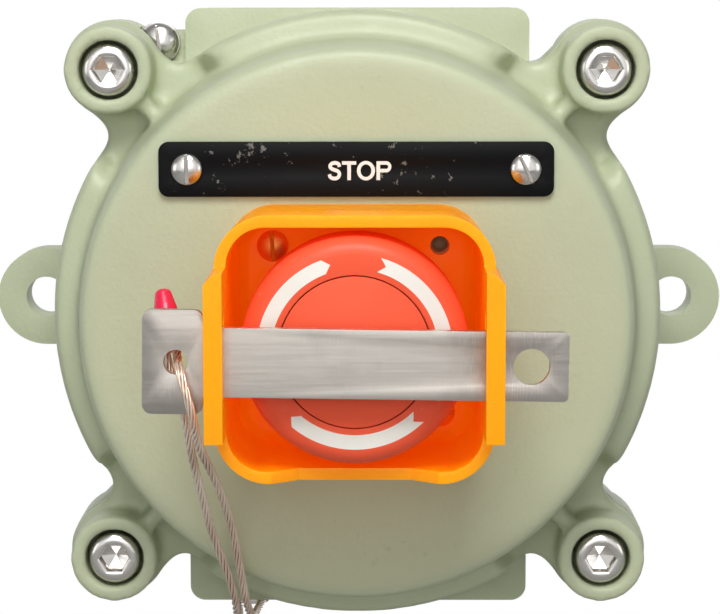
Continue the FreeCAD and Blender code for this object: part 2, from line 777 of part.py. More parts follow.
def make_lock_bar():
    """Flat T-shaped bar through the guard's slots, with a rope hole and a padlock hole."""
    body = new_body("lock_bar")
    tee_edge = "(-rim_half_width - cheek_stand - bar_play)"
    plan = new_sketch(body, shift=at_level("bar_level"))
    add_polygon(plan, [
        (f"{tee_edge} - tee_width", "-tee_height / 2"), (tee_edge, "-tee_height / 2"),
        (tee_edge, "-bar_height / 2"), ("bar_end", "-bar_height / 2"),
        ("bar_end", "bar_height / 2"), (tee_edge, "bar_height / 2"),
        (tee_edge, "tee_height / 2"), (f"{tee_edge} - tee_width", "tee_height / 2"),
    ])
    pad(body, plan, "bar_thick")
    soften(body, "tee_corner", lambda edge: runs_outwards(edge) and near(
        abs(middle(edge).y), "tee_height / 2"))
    soften(body, "bar_corner", lambda edge: runs_outwards(edge) and near(middle(edge).x, "bar_end"))
    front = "bar_level + bar_thick"
    cut_hole(body, (f"{tee_edge} - tee_width + tee_hole_in", "0"), "tee_hole_r", front)
    cut_hole(body, ("bar_end - padlock_hole_in", "0"), "padlock_hole_r", front)
    tilt = Placement(Vector(0, 0, worth("bar_y")), Rotation(Vector(0, 1, 0), worth("bar_tilt")))
    body.Placement = tilt.multiply(body.Placement)
    bind(body, "Placement.Base.z", "bar_y")
    return body


def make_button():
    """Mushroom head with its centre cap, on a stepped shaft with a retaining clip."""
    back = "head_level - head_skirt"
    crown = "(head_level - head_crown)"
    seat = "(head_level - head_crown - neck_length)"
    bore = "neck_r + running_gap"
    head = turned_piece("mushroom_head", [
        (bore, f"{seat} + running_gap"), ("head_hub_r", f"{seat} + running_gap"), ("head_hub_r", crown),
        ("head_r - head_shell", crown), ("head_r - head_shell", back), ("head_r", back),
        ("head_r", "head_level"), ("cap_r", "head_level"), ("cap_r", "head_level - cap_thick"),
        ("0", "head_level - cap_thick"), ("0", f"{crown} + running_gap"), (bore, f"{crown} + running_gap"),
    ])
    soften(head, "head_round", lambda edge: is_ring(edge, "head_r", "head_level"))
    turned_piece("head_cap", [
        ("0", "head_level - cap_thick"), ("cap_r - cap_gap", "head_level - cap_thick"),
        ("cap_r - cap_gap", "head_level"), ("0", "head_level"),
    ])
    groove_front = "(bush_rear - clip_gap)"
    groove_back = "(bush_rear - clip_gap - clip_thick)"
    turned_piece("actuator_shaft", [
        ("0", "shaft_rear"), ("shaft_r", "shaft_rear"), ("shaft_r", groove_back),
        ("shaft_r - clip_groove", groove_back), ("shaft_r - clip_groove", groove_front),
        ("shaft_r", groove_front), ("shaft_r", f"{seat} - shaft_flange_thick"),
        ("shaft_flange_r", f"{seat} - shaft_flange_thick"), ("shaft_flange_r", seat),
        ("neck_r", seat), ("neck_r", crown), ("0", crown),
    ])
    turned_piece("shaft_clip", ring_outline("shaft_r - clip_groove", "clip_r", groove_back, groove_front))


def make_bush():
    """Flanged bush through the cover, with its gasket in front and its hexagon nut behind."""
    flange_back = "(face_level + bush_seal_thick)"
    bore = "shaft_r + running_gap"
    turned_piece("actuator_bush", [
        (bore, "bush_rear"), ("bush_r", "bush_rear"), ("bush_r", flange_back),
        ("bush_flange_r", flange_back), ("bush_flange_r", f"{flange_back} + bush_flange_thick"),
        ("bush_collar_r", f"{flange_back} + bush_flange_thick"), ("bush_collar_r", "bush_front"),
        ("bush_cup_r", "bush_front"), ("bush_cup_r", "bush_front - bush_cup_depth"),
        (bore, "bush_front - bush_cup_depth"),
    ])
    turned_piece("bush_seal", ring_outline("bush_r + bush_gap", "bush_flange_r", "face_level", flange_back))
    nut = new_body("bush_locknut")
    back = "(face_level - cover_wall - nut_thick)"
    plan = new_sketch(nut, shift=at_level(back))
    corner = "nut_half_flat / cos(30 deg)"
    add_polygon(plan, [(f"{corner} * cos({60 * i} deg)", f"{corner} * sin({60 * i} deg)") for i in range(6)])
    pad(nut, plan, "nut_thick")
    cut_hole(nut, ("0", "0"), "bush_r + bush_gap", f"{back} + nut_thick")


def make_spring(label, radius, wire, turns, back, front):
    """Round-wire coil spring between two levels, swept along a helix of short straight steps."""
    coil_r, wire_r = worth(radius), worth(wire)
    foot, top = worth(f"{back} + {wire}"), worth(f"{front} - {wire}")
    steps = round(worth(turns) * STEPS_PER_TURN)
    points = []
    for step in range(steps + 1):
        angle = 2 * math.pi * step / STEPS_PER_TURN
        level = foot + (top - foot) * step / steps
        points.append(Vector(coil_r * math.cos(angle), coil_r * math.sin(angle), level))
    section = Part.Wire(Part.makeCircle(wire_r, points[0], points[1] - points[0]))
    coil = doc.addObject("Part::Feature", label)
    coil.Shape = Part.makePolygon(points).makePipeShell([section], True, False, MITRED)
    named(coil, label)


def make_contact_block():
    """Contact housing on its base: carrier, sprung bridge, fixed contacts and terminals."""
    half = ("-block_half_width", "-block_half_height", "block_half_width", "block_half_height")
    base_front = "(block_back + block_base_thick)"
    base = new_body("contact_base")
    add_block(base, half, "block_back", base_front)
    base_hole = cut_hole(base, ("0", "block_screw_y"), "block_screw_r + screw_clearance", base_front)
    repeat_round(base, [base_hole], 2)
    contact_back = "(bridge_level + bridge_thick)"
    contact_front = "(bridge_level + bridge_thick + contact_thick)"
    block = new_body("contact_block")
    add_block(block, half, base_front, "block_front")
    cavity = new_sketch(block, shift=at_level(base_front))
    add_rectangle(cavity, "-block_cavity_half_width", "-block_cavity_half_height",
                  "block_cavity_half_width", "block_cavity_half_height")
    pocket(block, cavity, f"block_front - block_front_wall - {base_front}", outwards=True)
    slot = new_sketch(block, shift=at_level(contact_front))
    add_rectangle(slot, "-block_half_width - lap", "-contact_half_width",
                  "block_half_width + lap", "contact_half_width")
    pocket(block, slot, "contact_thick")
    screw_hole = cut_hole(block, ("0", "block_screw_y"), "block_screw_r + screw_clearance", "block_front")
    repeat_round(block, [screw_hole], 2)
    terminal_hole = cut_hole(block, ("terminal_x", "0"), "terminal_r + thread_gap", "block_front",
                             f"block_front - {contact_front}")
    mirror_across(block, [terminal_hole])
    cut_hole(block, ("0", "0"), "carrier_r + carrier_gap", "block_front", "block_front_wall")
    turned_piece("contact_carrier", [
        ("0", f"{contact_back}"), ("carrier_r", f"{contact_back}"), ("carrier_r", "shaft_rear"),
        ("0", "shaft_rear"),
    ])
    bridge = new_body("contact_bridge")
    bridge_box = ("-bridge_half_length", "-bridge_half_width", "bridge_half_length", "bridge_half_width")
    add_block(bridge, bridge_box, "bridge_level", contact_back)
    contacts = new_body("fixed_contacts")
    strip_box = ("contact_inner_x", "-contact_half_width", "block_half_width", "contact_half_width")
    strip = add_block(contacts, strip_box, contact_back, contact_front)
    mirror_across(contacts, [strip])
    terminals = turned_piece("terminal_screws", screw_outline(
        "terminal_head_r", "terminal_head_height", "terminal_r", "block_front",
        f"(block_front - {contact_front})"), ("terminal_x", "0"))
    mirror_across(terminals, [terminals.Tip])
    screws = turned_piece("contact_block_screws", screw_outline(
        "block_head_r", "block_head_height", "block_screw_r", "block_front",
        "(block_front - block_back + block_screw_bite)"), ("0", "block_screw_y"))
    repeat_round(screws, [screws.Tip], 2)
    make_spring("contact_spring", "contact_spring_r", "contact_spring_wire_r", "contact_spring_turns",
                base_front, "bridge_level")


def rounded_path(points):
    """Straight runs joined by tangent arcs, each as large as its two runs allow."""
    edges = []
    radii = []
    start = points[0]
    for before, corner, after in zip(points, points[1:], points[2:]):
        inwards = (before - corner).normalize()
        outwards = (after - corner).normalize()
        setback = ARC_SHARE * min(before.distanceToPoint(corner), after.distanceToPoint(corner))
        half_turn = (math.pi - inwards.getAngle(outwards)) / 2
        radius = setback / math.tan(half_turn)
        radii.append(radius)
        entry = corner + inwards * setback
        leave = corner + outwards * setback
        to_centre = (inwards + outwards).normalize()
        centre = corner + to_centre * math.hypot(radius, setback)
        edges.append(Part.LineSegment(start, entry).toShape())
        edges.append(Part.Arc(entry, centre - to_centre * radius, leave).toShape())
        start = leave
    edges.append(Part.LineSegment(start, points[-1]).toShape())
    return Part.Wire(edges), radii


def make_lanyard():
    """Wire rope in a closed loop, its red end sleeve and the shouldered screw that holds it."""
    points = [Vector(*spot) for spot in ROPE_POINTS]
    path, radii = rounded_path(points)
    wire_r = worth("rope_r")
    first = (points[1] - points[0]).normalize()
    section = Part.Wire(Part.makeCircle(wire_r, points[0], first))
    tube = path.makePipeShell([section], True, False)
    expected = math.pi * wire_r ** 2 * path.Length
    print("lanyard length", round(path.Length, 1), "volume ratio", round(tube.Volume / expected, 4))
    print("lanyard radii", [round(radius, 1) for radius in radii])
    rope = doc.addObject("Part::Feature", "lanyard_rope")
    rope.Shape = tube
    named(rope, "lanyard_rope")
    sleeve = turned_piece("lanyard_sleeve", [
        ("0", "0"), ("sleeve_foot_r", "0"), ("sleeve_foot_r", "sleeve_taper_from"),
        ("sleeve_tip_r", "sleeve_length"), ("0", "sleeve_length"),
    ])
    soften(sleeve, "sleeve_round", lambda edge: near(middle(edge).z, "sleeve_length"))
    lean = Rotation(Vector(0, 0, 1), SLEEVE_LEAN)
    sleeve.Placement = Placement(STAND_UP.multVec(SLEEVE_FOOT), STAND_UP.multiply(lean))
    anchor = turned_piece("lanyard_anchor", [
        ("0", "-anchor_reach"), ("anchor_neck_r", "-anchor_reach"), ("anchor_neck_r", "anchor_neck"),
        ("anchor_head_r", "anchor_neck"), ("anchor_head_r", "anchor_neck + anchor_head"),
        ("0", "anchor_neck + anchor_head"),
    ])
    anchor.Placement = Placement(Vector(0, 0, 0), Rotation(Vector(1, 0, 0), 180))
    bind(anchor, "Placement.Base.x", "anchor_x")
    bind(anchor, "Placement.Base.y", "-anchor_level")
    bind(anchor, "Placement.Base.z", f"-{HUB_TOP}")


def check_document():
    """Stops if any object failed or any sub-part has no sound solid."""
    doc.recompute()
    for thing in doc.Objects:
        if {"Invalid", "Error"} & set(thing.State):
            raise RuntimeError(f"{thing.Label} failed: {thing.State}")
    for thing in SUB_PARTS:
        if thing.Shape.isNull() or not thing.Shape.isValid() or not thing.Shape.Solids:
            raise RuntimeError(f"{thing.Label} is not a sound solid")


def write_parts():
    """Writes each sub-part to its own STEP file."""
    os.makedirs("parts", exist_ok=True)
    for thing in SUB_PARTS:
        thing.Shape.exportStep(f"parts/{thing.Label}.step")
        print(thing.Label, len(thing.Shape.Solids), round(thing.Shape.Volume, 1))


make_enclosure_body()
make_cover()
make_cover_seal()
make_cover_screws()
make_earth_screws()
make_legend_plate()
make_button_guard()
make_lock_bar()
make_button()
make_bush()
make_spring("return_spring", "spring_r", "spring_wire_r", "spring_turns",
            "(bush_front - bush_cup_depth)",
            "(head_level - head_crown - neck_length - shaft_flange_thick)")
make_contact_block()
make_lanyard()
check_document()
write_parts()
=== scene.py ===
import json
import math

import bmesh
import bpy
import numpy as np
from bpy.props import FloatProperty, FloatVectorProperty, IntProperty, PointerProperty
from mathutils import Matrix, Vector


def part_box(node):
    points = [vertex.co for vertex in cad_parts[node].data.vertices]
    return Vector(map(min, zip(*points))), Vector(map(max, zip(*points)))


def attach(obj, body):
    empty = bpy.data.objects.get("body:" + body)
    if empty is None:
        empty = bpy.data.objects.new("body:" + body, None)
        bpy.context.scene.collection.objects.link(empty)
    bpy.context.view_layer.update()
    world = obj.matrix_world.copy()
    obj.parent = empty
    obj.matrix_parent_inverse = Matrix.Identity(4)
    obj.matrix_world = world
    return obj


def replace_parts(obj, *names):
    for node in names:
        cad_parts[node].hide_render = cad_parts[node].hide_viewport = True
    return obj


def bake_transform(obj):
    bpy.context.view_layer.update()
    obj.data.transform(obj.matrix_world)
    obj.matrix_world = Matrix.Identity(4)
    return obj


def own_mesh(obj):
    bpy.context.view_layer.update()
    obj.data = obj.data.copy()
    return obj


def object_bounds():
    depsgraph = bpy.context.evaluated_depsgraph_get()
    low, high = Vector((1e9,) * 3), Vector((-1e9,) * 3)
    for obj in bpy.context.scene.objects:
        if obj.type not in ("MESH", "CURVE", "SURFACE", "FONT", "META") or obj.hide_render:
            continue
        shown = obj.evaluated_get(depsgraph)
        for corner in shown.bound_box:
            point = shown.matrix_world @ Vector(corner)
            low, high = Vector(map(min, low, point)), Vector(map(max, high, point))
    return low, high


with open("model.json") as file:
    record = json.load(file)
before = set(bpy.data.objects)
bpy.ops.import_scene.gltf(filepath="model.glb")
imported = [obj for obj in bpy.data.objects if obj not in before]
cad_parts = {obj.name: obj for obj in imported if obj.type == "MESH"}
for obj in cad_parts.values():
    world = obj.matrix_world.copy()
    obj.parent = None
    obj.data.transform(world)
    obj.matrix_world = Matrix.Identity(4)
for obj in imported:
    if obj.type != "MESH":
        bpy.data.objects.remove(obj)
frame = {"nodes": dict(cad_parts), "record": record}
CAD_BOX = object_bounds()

bl_info = {
    "name": "Emergency Stop Station",
    "version": (1, 0, 0),
    "blender": (4, 5, 0),
    "location": "View3D > Sidebar > Station",
    "description": "Finishes, fasteners, lettering and lanyard of a wall-mounted stop station",
    "category": "Object",
}

MM = 0.001
TAU = 2 * math.pi
LAMP_AIM = (0.0, -0.05, 0.0)

# Fasteners as their solids have them; a thread is its crest's radius, its pitch and its depth
SOCKET_HEAD_R = 5.0 * MM
ROUND_HEAD_R = 2.9 * MM
GUARD_HEAD_HEIGHT = 1.5 * MM
EARTH_HEAD_HEIGHT = 2.6 * MM
SMALL_SHANK_SIDES = 24
THREADS = {
    "M3": (1.5 * MM, 0.5 * MM, 0.15 * MM),
    "M4": (2.0 * MM, 0.7 * MM, 0.2 * MM),
    "M6": (3.0 * MM, 1.0 * MM, 0.3 * MM),
}
CONDUIT_PITCH = 1.5 * MM
CONDUIT_DEPTH = 0.55 * MM
CONDUIT_LENGTH = 12.0 * MM

# Springs: node, turns and radius of the wire
SPRINGS = (("return_spring", 5.0, 0.6 * MM), ("contact_spring", 3.0, 0.35 * MM))

# Cast skin of the cover: size of the even mesh, share of its triangles that is kept, the radii
# between which the blur sets in, the distances from a lug's axis that do the same, the least
# weight of the blur and its rounds
SKIN_VOXEL = 0.65 * MM
SKIN_KEPT = 0.55
SOFT_BEYOND = (44.0 * MM, 47.0 * MM)
LUG_SPARED = (9.0 * MM, 11.5 * MM)
SOFT_LEAST = 0.07
SOFT_ROUNDS = 14

# Lanyard route in metres, as the rope's solid runs but a millimetre further out beside the guard:
# from the sleeve through the bar's hole, down in front of the cover, round the anchor screw's neck
# and up behind the bar.
ROPE_ROUTE = [
    (-0.03099, -0.09062, 0.00063), (-0.03059, -0.09161, -0.00159), (-0.0302, -0.0973, -0.0015),
    (-0.0275, -0.0988, -0.0106), (-0.0277, -0.0892, -0.0163), (-0.0252, -0.0772, -0.0253),
    (-0.0233, -0.0665, -0.0344), (-0.0218, -0.0604, -0.0460), (-0.0211, -0.0565, -0.0523),
    (-0.0204, -0.0470, -0.0584), (-0.0205, -0.0330, -0.0607), (-0.0193, -0.0202, -0.0606),
    (-0.0195, -0.0102, -0.0605), (-0.0245, -0.0102, -0.0605), (-0.0246, -0.0202, -0.0606),
    (-0.0235, -0.0330, -0.0607), (-0.0233, -0.0470, -0.0584), (-0.0229, -0.0565, -0.0523),
    (-0.0245, -0.0612, -0.0449), (-0.0265, -0.0665, -0.0380), (-0.0282, -0.0760, -0.0269),
    (-0.0292, -0.0850, -0.0180), (-0.0296, -0.0904, -0.0109), (-0.03207, -0.0924, -0.0038),
    (-0.03281, -0.09062, 0.00031),
]


def colour_property(name, description, default):
    """A colour that the sidebar can change."""
    return FloatVectorProperty(
        name=name, description=description, default=default, subtype="COLOR", min=0.0, max=1.0)


def length_property(name, description, default):
    """A length in metres that the sidebar can change."""
    return FloatProperty(
        name=name, description=description, default=default, min=0.0, unit="LENGTH", precision=5)


def place_property(name, description, default):
    """A point in metres that the sidebar can change."""
    return FloatVectorProperty(
        name=name, description=description, default=default, subtype="TRANSLATION", unit="LENGTH")


def angle_property(name, description, degrees):
    """An angle that the sidebar can change."""
    return FloatProperty(
        name=name, description=description, default=math.radians(degrees), subtype="ANGLE")


def number_property(name, description, default, unit="NONE"):
    """A number that the sidebar can change."""
    return FloatProperty(name=name, description=description, default=default, unit=unit)


def count_property(name, description, default):
    """A whole number that the sidebar can change."""
    return IntProperty(name=name, description=description, default=default, min=1)


class StationFinish(bpy.types.PropertyGroup):
    """Colours of the station's finishes."""

    paint: colour_property("Paint", "Satin paint of the castings", (0.49, 0.535, 0.36))
    guard: colour_property("Guard", "Moulded plastic of the guard", (1.0, 0.42, 0.003))
    button: colour_property("Button", "Moulded plastic of the head", (0.92, 0.11, 0.045))
    arrow: colour_property("Arrows", "Printed arrows on the head", (0.88, 0.85, 0.78))
    plate: colour_property("Legend plate", "Lacquer of the legend plate", (0.004, 0.004, 0.0045))
    letter: colour_property("Lettering", "Printed word on the legend plate", (0.85, 0.85, 0.83))
    steel: colour_property("Steel", "Bright steel of the screws", (0.66, 0.64, 0.61))
    # Painted reflection: the guard's screws get an orange-yellow colour that stands in for the orange
    # of the guard reflected in them.
    orange_reflection: colour_property("Yellow zinc", "Plating of the guard's screws", (0.95, 0.5, 0.12))
    bar: colour_property("Bar", "Brushed steel of the lock bar", (0.74, 0.69, 0.63))
    rope: colour_property("Rope", "Drawn wire of the lanyard", (0.98, 0.88, 0.76))
    sleeve: colour_property("Sleeve", "Plastic sleeve on the lanyard", (0.80, 0.02, 0.07))
    brass: colour_property("Brass", "Turned brass inside", (0.72, 0.50, 0.22))
    rubber: colour_property("Rubber", "Seals", (0.018, 0.018, 0.018))
    block: colour_property("Contact block", "Thermoset of the contact block", (0.62, 0.60, 0.54))


class StationDetail(bpy.types.PropertyGroup):
    """Sizes of the details that are added to the solids."""

    socket_flats: length_property("Socket", "Hexagon socket across flats", 5.0 * MM)
    socket_depth: length_property("Socket depth", "Depth of the hexagon socket", 3.2 * MM)
    knurl_depth: length_property("Knurl depth", "Depth of the socket heads' knurl", 0.09 * MM)
    knurl_count: count_property("Knurl teeth", "Teeth round a socket head", 54)
    slot_width: length_property("Slot width", "Width of a screw's slot", 0.75 * MM)
    slot_depth: length_property("Slot depth", "Depth of a screw's slot", 0.8 * MM)
    letter_height: length_property("Letter height", "Height of the printed capitals", 3.5 * MM)
    word_width: length_property("Word width", "Width of the printed word", 11.65 * MM)
    arrow_inner: length_property("Arrow inner radius", "Inner radius of the arrows", 14.55 * MM)
    arrow_outer: length_property("Arrow outer radius", "Outer radius of the arrows", 17.1 * MM)
    arrow_span: angle_property("Arrow span", "Angle that an arrow covers", 89)
    press_travel: length_property("Press travel", "Press that the springs take up", 5.5 * MM)
    rope_lay: length_property("Rope lay", "Length of one turn of the rope's strands", 14.5 * MM)
    rope_strands: count_property("Strands", "Outer strands of the rope", 6)


class StationStage(bpy.types.PropertyGroup):
    """Camera and light."""

    camera_place: place_property("Camera", "Where it stands", (0.00406, -0.51948, 0.06052))
    camera_aim: place_property("Aim", "Where the camera looks", (0.00067, -0.057, 0.00379))
    camera_roll: angle_property("Roll", "Turn of the camera about its view", -0.07)
    lens: number_property("Lens", "Focal length in millimetres", 124.7, "CAMERA")
    key_power: number_property("Key light", "Power of the lamp above", 3.35, "POWER")
    front_power: number_property("Front light", "Power of the lamp over the camera", 1.1, "POWER")
    ring_power: number_property("Ring light", "Power of the lamp round the camera", 0.28, "POWER")
    side_power: number_property("Side lights", "Power of each side lamp", 0.55, "POWER")
    back_power: number_property("Back light", "Power of the lamp behind", 3.0, "POWER")
    sky_level: number_property("Sky", "Strength of the even light", 0.08)
    room_level: number_property("Room", "Reflected strength of the room in front", 1.1)
    side_level: number_property("Sides", "Reflected strength of the room's sides", 0.3)


# Shapes as arrays

def grid_quads(rows, columns, wrap_columns=False):
    """Quads between neighbouring points of a grid; the last column joins the first if it wraps."""
    row = np.arange(rows - 1)
    column = np.arange(columns if wrap_columns else columns - 1)
    i, j = np.meshgrid(row, column, indexing="ij")
    after = (j + 1) % columns
    here, below = i * columns, (i + 1) * columns
    return np.stack([here + j, here + after, below + after, below + j], axis=-1).reshape(-1, 4)


def turned(radius, depth, sides, centre=(0.0, 0.0)):
    """A profile carried round an axis out of the wall: x = cx + r cos a, y = -d, z = cz + r sin a.
    The radius is one number a row, or a whole row of them where it changes with the angle."""
    angle = np.linspace(0.0, TAU, sides, endpoint=False)
    depth = np.asarray(depth, float)[:, None]
    radius = np.asarray(radius, float)
    radius = radius[:, None] if radius.ndim == 1 else radius
    radius, depth, angle = np.broadcast_arrays(radius, depth, angle[None, :])
    points = np.stack(
        [centre[0] + radius * np.cos(angle), -depth, centre[1] + radius * np.sin(angle)], axis=-1)
    return points.reshape(-1, 3), grid_quads(depth.shape[0], sides, True)


def thread_wave(depth, angle, pitch):
    """A screw thread over its length and its turn, 0 at a crest and 1 at a root:
    |2 frac(d / pitch + a / 2 pi) - 1|."""
    phase = depth[:, None] / pitch + angle[None, :] / TAU
    return np.abs(2 * (phase - np.floor(phase)) - 1)


def threaded_shank(crest, pitch, thread, start, end, centre, sides=40, steps=6):
    """A threaded rod, r = crest - thread * wave(d, a), shut at both ends."""
    rows = max(3, int(round(abs(end - start) / pitch * steps)))
    depth = np.linspace(start, end, rows)
    angle = np.linspace(0.0, TAU, sides, endpoint=False)
    shut = np.zeros((1, sides))
    radius = np.concatenate([shut, crest - thread * thread_wave(depth, angle, pitch), shut])
    return turned(radius, np.concatenate([[start], depth, [end]]), sides, centre)


def socket_head(detail, radius, seat, top, centre):
    """Knurled socket head: rows of one grid run up the knurled side, over the round rim and
    down the hexagon to a cone. A hexagon's radius is f / cos(a'), with a' measured from the
    middle of each flat, and the knurl is a wave of the angle on the side."""
    sides = detail.knurl_count * 4
    angle = np.linspace(0.0, TAU, sides, endpoint=False)
    flat = np.mod(angle, TAU / 6) - TAU / 12
    hexagon = detail.socket_flats / 2 / np.cos(flat)
    knurl = radius - detail.knurl_depth * (0.5 + 0.5 * np.cos(detail.knurl_count * angle))
    plain = np.ones(sides)
    foot, rim, lip, cone, tip = 0.55 * MM, 1.55 * MM, 0.4 * MM, 0.9 * MM, 1.0 * MM
    rise, floor = 0.8 * rim, top - detail.socket_depth
    rows = [
        (plain * 0.0, seat), (plain * (radius - foot), seat),
        (knurl, seat + foot / 2), (knurl, top - rise),
    ]
    rows += [
        (plain * (radius - rim + rim * math.cos(bend)), top - rise * (1 - math.sin(bend)))
        for bend in np.linspace(0.0, TAU / 4, 7)[1:]
    ]
    rows += [
        (hexagon + lip, top), (hexagon + 0.3 * lip, top - 0.3 * lip), (hexagon, top - lip),
        (hexagon, floor), (hexagon * 0.1, floor - cone), (plain * 0.0, floor - tip),
    ]
    return turned(np.stack([row[0] for row in rows]), [row[1] for row in rows], sides, centre)


def plate_between(outer, inner):
    """A closed sheet from two grids of the same shape, an upper and a lower one, joined round
    their border."""
    rows, columns = outer.shape[:2]
    count = rows * columns
    quads = grid_quads(rows, columns)
    index = np.arange(count).reshape(rows, columns)
    loop = np.concatenate([index[:, 0], index[-1, 1:], index[-2::-1, -1], index[0, -2:0:-1]])
    after = np.roll(loop, -1)
    wall = np.stack([loop, after, after + count, loop + count], axis=-1)
    points = np.concatenate([outer.reshape(-1, 3), inner.reshape(-1, 3)])
    return points, np.concatenate([quads, quads[:, ::-1] + count, wall])


def slotted_head(detail, radius, seat, top, turn, centre, edge_share=0.22):
    """Round slotted head. Columns u run across the slot and bunch at its walls; rows v run from
    edge to edge, t = v sqrt(R^2 - u^2). The top is an elliptic dome of the distance from the
    axis, or the slot's V-shaped floor between the walls, and the same grid below it shuts the
    head."""
    half, height, wing_steps = detail.slot_width / 2, top - seat, 14
    wing = half + (radius - half) * np.sin(np.linspace(0.0, TAU / 4, wing_steps))
    across = np.concatenate([-wing[::-1], [-half, 0.0, half], wing])
    in_slot = np.zeros(across.size, bool)
    in_slot[wing_steps:-wing_steps] = True
    along = np.sin(np.linspace(-TAU / 4, TAU / 4, 25))
    u = np.broadcast_to(across[:, None], (across.size, along.size))
    t = along[None, :] * np.sqrt(np.maximum(radius ** 2 - u ** 2, 0.0))
    reach = np.clip(np.hypot(u, t) / radius, 0.0, 1.0)
    dome = height * (edge_share + (1 - edge_share) * np.sqrt(1 - (0.985 * reach) ** 2))
    vee = 1.5 - 0.5 * np.minimum(np.abs(u) / half, 1.0)
    lift = np.where(in_slot[:, None], np.minimum(dome, height - detail.slot_depth * vee), dome)
    x = centre[0] + u * math.cos(turn) - t * math.sin(turn)
    z = centre[1] + u * math.sin(turn) + t * math.cos(turn)
    upper = np.stack([x, -(seat + lift), z], axis=-1)
    lower = np.stack([x, np.full_like(x, -seat), z], axis=-1)
    return plate_between(upper, lower)


def tube_along(centre, across, upwards, radius, sides):
    """A round tube: at each point p of a line, p + r (cos b A + sin b U), shut at both ends."""
    angle = np.linspace(0.0, TAU, sides, endpoint=False)
    size = np.concatenate([[0.0], np.full(len(centre), radius), [0.0]])[:, None, None]
    pick = np.concatenate([[0], np.arange(len(centre)), [len(centre) - 1]])
    ring = (np.cos(angle)[None, :, None] * across[pick][:, None, :]
            + np.sin(angle)[None, :, None] * upwards[pick][:, None, :])
    points = centre[pick][:, None, :] + size * ring
    return points.reshape(-1, 3), grid_quads(len(pick), sides, True)


def frames_along(line):
    """Two directions square to a line at each of its points, from its slope and one direction
    that the line never takes."""
    slope = np.gradient(line, axis=0)
    slope /= np.linalg.norm(slope, axis=1, keepdims=True)
    aside = np.full(3, 1 / math.sqrt(3))
    across = aside - (slope @ aside)[:, None] * slope
    across /= np.linalg.norm(across, axis=1, keepdims=True)
    return across, np.cross(slope, across)


def join_arrays(parts):
    """One list of points and faces from several."""
    points, faces, shift = [], [], 0
    for part_points, part_faces in parts:
        points.append(part_points)
        faces.append(part_faces + shift)
        shift += len(part_points)
    return np.concatenate(points), np.concatenate(faces)


def new_piece(name, parts, material, body, sharp=math.radians(32)):
    """Makes an object of arrays: closes its poles and seams, shades it smoothly up to an angle,
    and hands it to a body, if it rides on one, and gives it its material."""
    points, faces = join_arrays(parts)
    mesh = bpy.data.meshes.new(name)
    mesh.from_pydata(points.tolist(), [], faces.tolist())
    work = bmesh.new()
    work.from_mesh(mesh)
    bmesh.ops.remove_doubles(work, verts=work.verts, dist=1e-7)
    bmesh.ops.recalc_face_normals(work, faces=work.faces)
    work.to_mesh(mesh)
    work.free()
    if not mesh.polygons:
        raise RuntimeError(f"{name} has no faces")
    mesh.shade_smooth()
    mesh.set_sharp_from_angle(angle=sharp)
    mesh.materials.append(material)
    piece = bpy.data.objects.new(name, mesh)
    bpy.context.scene.collection.objects.link(piece)
    if body:
        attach(piece, body)
    return piece


# Printed word, on a square whose side is the height of a capital

PRINT_DEPTH = 0.02 * MM
LETTERS_WIDTH = 3.66
RING_MIDDLE = np.array([2.225, 0.5])
WORD_SHIFT = (0.55 * MM, -0.25 * MM)
BEND_SPOTS = np.array([
    (0.685, 0.70), (0.645, 0.835), (0.53, 0.9), (0.395, 0.91), (0.25, 0.88), (0.145, 0.77),
    (0.165, 0.655), (0.29, 0.575), (0.45, 0.525), (0.60, 0.465), (0.68, 0.345), (0.645, 0.195),
    (0.54, 0.11), (0.40, 0.085), (0.255, 0.105), (0.14, 0.185), (0.1, 0.31),
])


def smooth_line(spots, steps):
    """A curve through points: in each span a cubic of t with the slopes of its neighbours,
    p = (2 b + (c - a) t + (2 a - 5 b + 4 c - d) t^2 + (3 b - a - 3 c + d) t^3) / 2."""
    first, last = 2 * spots[:1] - spots[1:2], 2 * spots[-1:] - spots[-2:-1]
    run = np.concatenate([first, spots, last])
    a, b, c, d = (run[i:len(run) - 3 + i, None, :] for i in range(4))
    t = np.linspace(0.0, 1.0, steps, endpoint=False)[None, :, None]
    curve = (2 * b + (c - a) * t + (2 * a - 5 * b + 4 * c - d) * t ** 2
             + (3 * b - a - 3 * c + d) * t ** 3) / 2
    return np.concatenate([curve.reshape(-1, 2), spots[-1:]])


def stroke(line, width):
    """The two edges of a stroke of one width along a line in the plane: p +- w / 2 n."""
    slope = np.gradient(line, axis=0)
    slope /= np.linalg.norm(slope, axis=1, keepdims=True)
    normal = np.stack([-slope[:, 1], slope[:, 0]], axis=-1)
    return np.stack([line + normal * width / 2, line - normal * width / 2], axis=1)


def letter_strokes():
    """Edges of the strokes of the word's three letters that aren't a plain ring."""
    upright, level = 0.21, 0.185
    half_turn = np.linspace(TAU / 4, -TAU / 4, 24)
    bowl = np.stack(
        [3.405 + 0.205 * np.cos(half_turn), 0.705 + 0.2025 * np.sin(half_turn)], axis=-1)
    bowl = np.concatenate([[(3.05, bowl[0, 1])], bowl, [(3.05, bowl[-1, 1])]])
    bars = [
        ((0.83, 1 - level / 2), (1.66, 1 - level / 2), level),
        ((1.245, 0.0), (1.245, 1 - level), upright),
        ((2.945, 0.0), (2.945, 1.0), upright),
    ]
    straight = [stroke(np.array([start, end]), width) for start, end, width in bars]
    return straight + [stroke(bowl, level), stroke(smooth_line(BEND_SPOTS, 6), 0.2)]


# Finishing the solids

def geometry_group(name, inputs=()):
    """An empty geometry node group, with named float inputs beside its geometry."""
    group = bpy.data.node_groups.new(name, "GeometryNodeTree")
    group.interface.new_socket("Geometry", in_out="INPUT", socket_type="NodeSocketGeometry")
    for label in inputs:
        group.interface.new_socket(label, in_out="INPUT", socket_type="NodeSocketFloat")
    group.interface.new_socket("Geometry", in_out="OUTPUT", socket_type="NodeSocketGeometry")
    return group, group.nodes.new("NodeGroupInput"), group.nodes.new("NodeGroupOutput")


